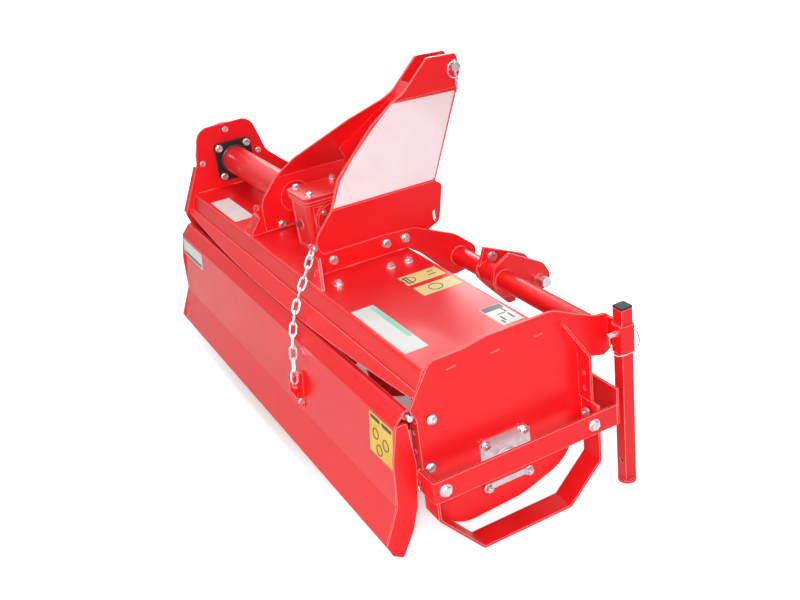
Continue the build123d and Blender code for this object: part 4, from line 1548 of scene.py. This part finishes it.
    def tailboard(self) -> None:
        """Labels on the tailboard's rear face."""
        top = self.datum.at(0, *self.tail_top)
        down = (self.datum.at(0, *self.tail_foot) - top).normalized()
        out = down.cross(RIGHT)
        across = out.cross(down)
        turn = Matrix((across, -down, out)).transposed().to_4x4()

        def spot(x: float, fall: float, lift: float = 0.0) -> Vector:
            """Point on the rear face, at x and a distance down it, or lifted off it."""
            return top + (RIGHT * x + down * fall + out * (self.sheet / 2 + lift)) * MM

        for area in self.on_tail:
            where = Matrix.Translation(spot(*area.place)) @ turn
            finish_piece(area.build(where), area.finish, Body.TAILBOARD)
        signs = [self.sign.build(spot(x, fall, self.mark_lift), across, down) for x, fall in self.signs]
        finish_piece(join("tail_signs", signs), Finish.INK, Body.TAILBOARD)


@dataclass(frozen=True)
class Lamp:
    """Square soft lamp that looks at the machine's middle.

    Attributes:
        name: Name of the lamp.
        place: Where it hangs, in metres.
        size: Its side.
        power: Its power, in watts.
    """

    name: str
    place: Point
    size: float
    power: float

    def build(self, target: Point) -> None:
        """Hangs the lamp.

        Args:
            target: The point that it looks at.
        """
        data = bpy.data.lights.new(self.name, "AREA")
        data.size = self.size
        data.energy = self.power
        lamp = bpy.data.objects.new(self.name, data)
        aim = (Vector(target) - Vector(self.place)).to_track_quat("-Z", "Y")
        lamp.matrix_world = Matrix.Translation(self.place) @ aim.to_matrix().to_4x4()
        bpy.context.scene.collection.objects.link(lamp)


@dataclass
class Studio:
    """Floor, light and camera.

    Attributes:
        floor: Height of the floor, in metres.
        width: Width of the floor.
        eye: Where the camera stands.
        azimuth: Its direction, in degrees to the left of +Y.
        elevation: How far it looks down, in degrees.
        roll: Its turn about its own line of sight, in degrees.
        lens: Its focal length, in millimetres.
        ambient: Strength of the light from all round.
        sky: Brightness that the surfaces mirror overhead.
        mirrored: Share of the floor's glow that the metal mirrors.
        glow: What the floor adds to its own light in the camera's eye.
        pool_place: Mapping of the pool of shade under the machine.
        pool_scale: Scale of that mapping.
        shade: Share of the glow that the pool takes away at its middle.
        target: The point that the lamps look at.
        lamps: The lamps.
    """

    floor: float
    width: float = 60.0
    eye: Point = (2.3500, -1.0799, 0.8844)
    azimuth: float = 64.80
    elevation: float = 25.11
    roll: float = -7.78
    lens: float = 43.646
    ambient: float = 0.17
    sky: float = 1.7
    mirrored: float = 0.22
    glow: float = 0.83
    pool_place: Point = (0.0, 0.3, 0.0)
    pool_scale: Point = (0.95, 1.9, 1.0)
    shade: float = 0.75
    target: Point = (0, -0.1, -0.2)
    lamps: Sequence[Lamp] = (
        Lamp("key_lamp", (3.5, -1.7, 1.5), 1.3, 104.0),
        Lamp("top_lamp", (-0.6, 0.2, 3.2), 1.6, 46.0),
        Lamp("rear_lamp", (0.6, -3.4, 0.7), 1.2, 20.0),
        Lamp("glare_lamp", (-2.9, 1.5, 1.35), 1.3, 42.0),
    )

    def build(self) -> None:
        """Sets the floor, the world, the lamps and the camera."""
        self.ground()
        self.world()
        for lamp in self.lamps:
            lamp.build(self.target)
        self.camera()

    def ground(self) -> None:
        """Wide white floor that keeps the object's shadow."""
        add = bpy.ops.mesh.primitive_plane_add
        floor = primitive("studio_floor", add, size=self.width, location=(0, 0, self.floor))
        shader = Shader("studio_white")
        shader.feed(shader.principled.inputs["Base Color"], (0.9, 0.9, 0.9, 1))
        shader.feed(shader.principled.inputs["Roughness"], 0.9)
        own = shader.principled.outputs[0]
        spread = {"Vector": shader.place(), "Location": self.pool_place, "Scale": self.pool_scale}
        oval = shader.node("ShaderNodeMapping", {}, spread).outputs[0]
        pool = shader.node("ShaderNodeTexGradient", {"gradient_type": "SPHERICAL"}, {"Vector": oval})
        dark = shader.ramp(Value(shader, pool.outputs["Fac"]), (0.0, 0.0), (0.6, self.shade))
        strength = (1.0 - dark) * self.glow
        glow = shader.node("ShaderNodeEmission", {}, {"Color": (1, 1, 1, 1), "Strength": strength})
        both = shader.node("ShaderNodeAddShader", {}, {0: own, 1: glow.outputs[0]})
        rays = shader.node("ShaderNodeLightPath", {}, {})
        in_metal = Value(shader, rays.outputs["Is Glossy Ray"]) * self.mirrored
        seen = Value(shader, rays.outputs["Is Camera Ray"]) + in_metal
        mix = shader.node("ShaderNodeMixShader", {}, {0: seen, 1: own, 2: both.outputs[0]})
        shader.feed(shader.output.inputs["Surface"], mix.outputs[0])
        floor.data.materials.append(shader.material)

    def world(self) -> None:
        """White to the camera, bright overhead in gloss, and a soft even light to the rest."""
        world = bpy.data.worlds.new("studio_world")
        bpy.context.scene.world = world
        world.use_nodes = True
        nodes = Nodes(world.node_tree)
        towards = nodes.node("ShaderNodeTexCoord", {}, {}).outputs["Generated"]
        split = nodes.node("ShaderNodeSeparateXYZ", {}, {"Vector": towards})
        sky = nodes.ramp(Value(nodes, split.outputs["Z"]), (0.0, 0.12), (0.6, 1.0)) * self.sky
        soft = nodes.first("BACKGROUND")
        nodes.feed(soft.inputs["Color"], (1, 1, 1, 1))
        nodes.feed(soft.inputs["Strength"], self.ambient)
        bright, white = (
            nodes.node("ShaderNodeBackground", {}, {"Color": (1, 1, 1, 1), "Strength": strength})
            for strength in (sky, 1.0)
        )
        rays = nodes.node("ShaderNodeLightPath", {}, {})
        unseen = nodes.node("ShaderNodeMixShader", {}, {
            0: rays.outputs["Is Glossy Ray"], 1: soft.outputs[0], 2: bright.outputs[0]})
        mix = nodes.node("ShaderNodeMixShader", {}, {
            0: rays.outputs["Is Camera Ray"], 1: unseen.outputs[0], 2: white.outputs[0]})
        nodes.feed(nodes.first("OUTPUT_WORLD").inputs["Surface"], mix.outputs[0])

    def camera(self) -> None:
        """Camera at the main view."""
        data = bpy.data.cameras.new("view")
        data.sensor_width = 36.0
        data.lens = self.lens
        data.clip_end = 100.0
        camera = bpy.data.objects.new("view", data)
        turn = Matrix.Rotation(math.radians(self.azimuth), 4, "Z")
        tilt = Matrix.Rotation(math.radians(90 - self.elevation), 4, "X")
        roll = Matrix.Rotation(math.radians(self.roll), 4, "Z")
        camera.matrix_world = Matrix.Translation(self.eye) @ turn @ tilt @ roll
        bpy.context.scene.collection.objects.link(camera)
        bpy.context.scene.camera = camera


def main() -> None:
    """Builds the scene."""
    logging.basicConfig(level=logging.INFO, format="%(message)s")
    bpy.context.scene.view_settings.view_transform = "Standard"
    datum = rotor_datum()
    Studio(floor=cad_box[0][2]).build()
    CadFinishes().apply()
    Fasteners(datum).build()
    Wirework(datum).build()
    Welds(datum).build()
    Labels(datum).build()


if __name__ == "__main__":
    main()
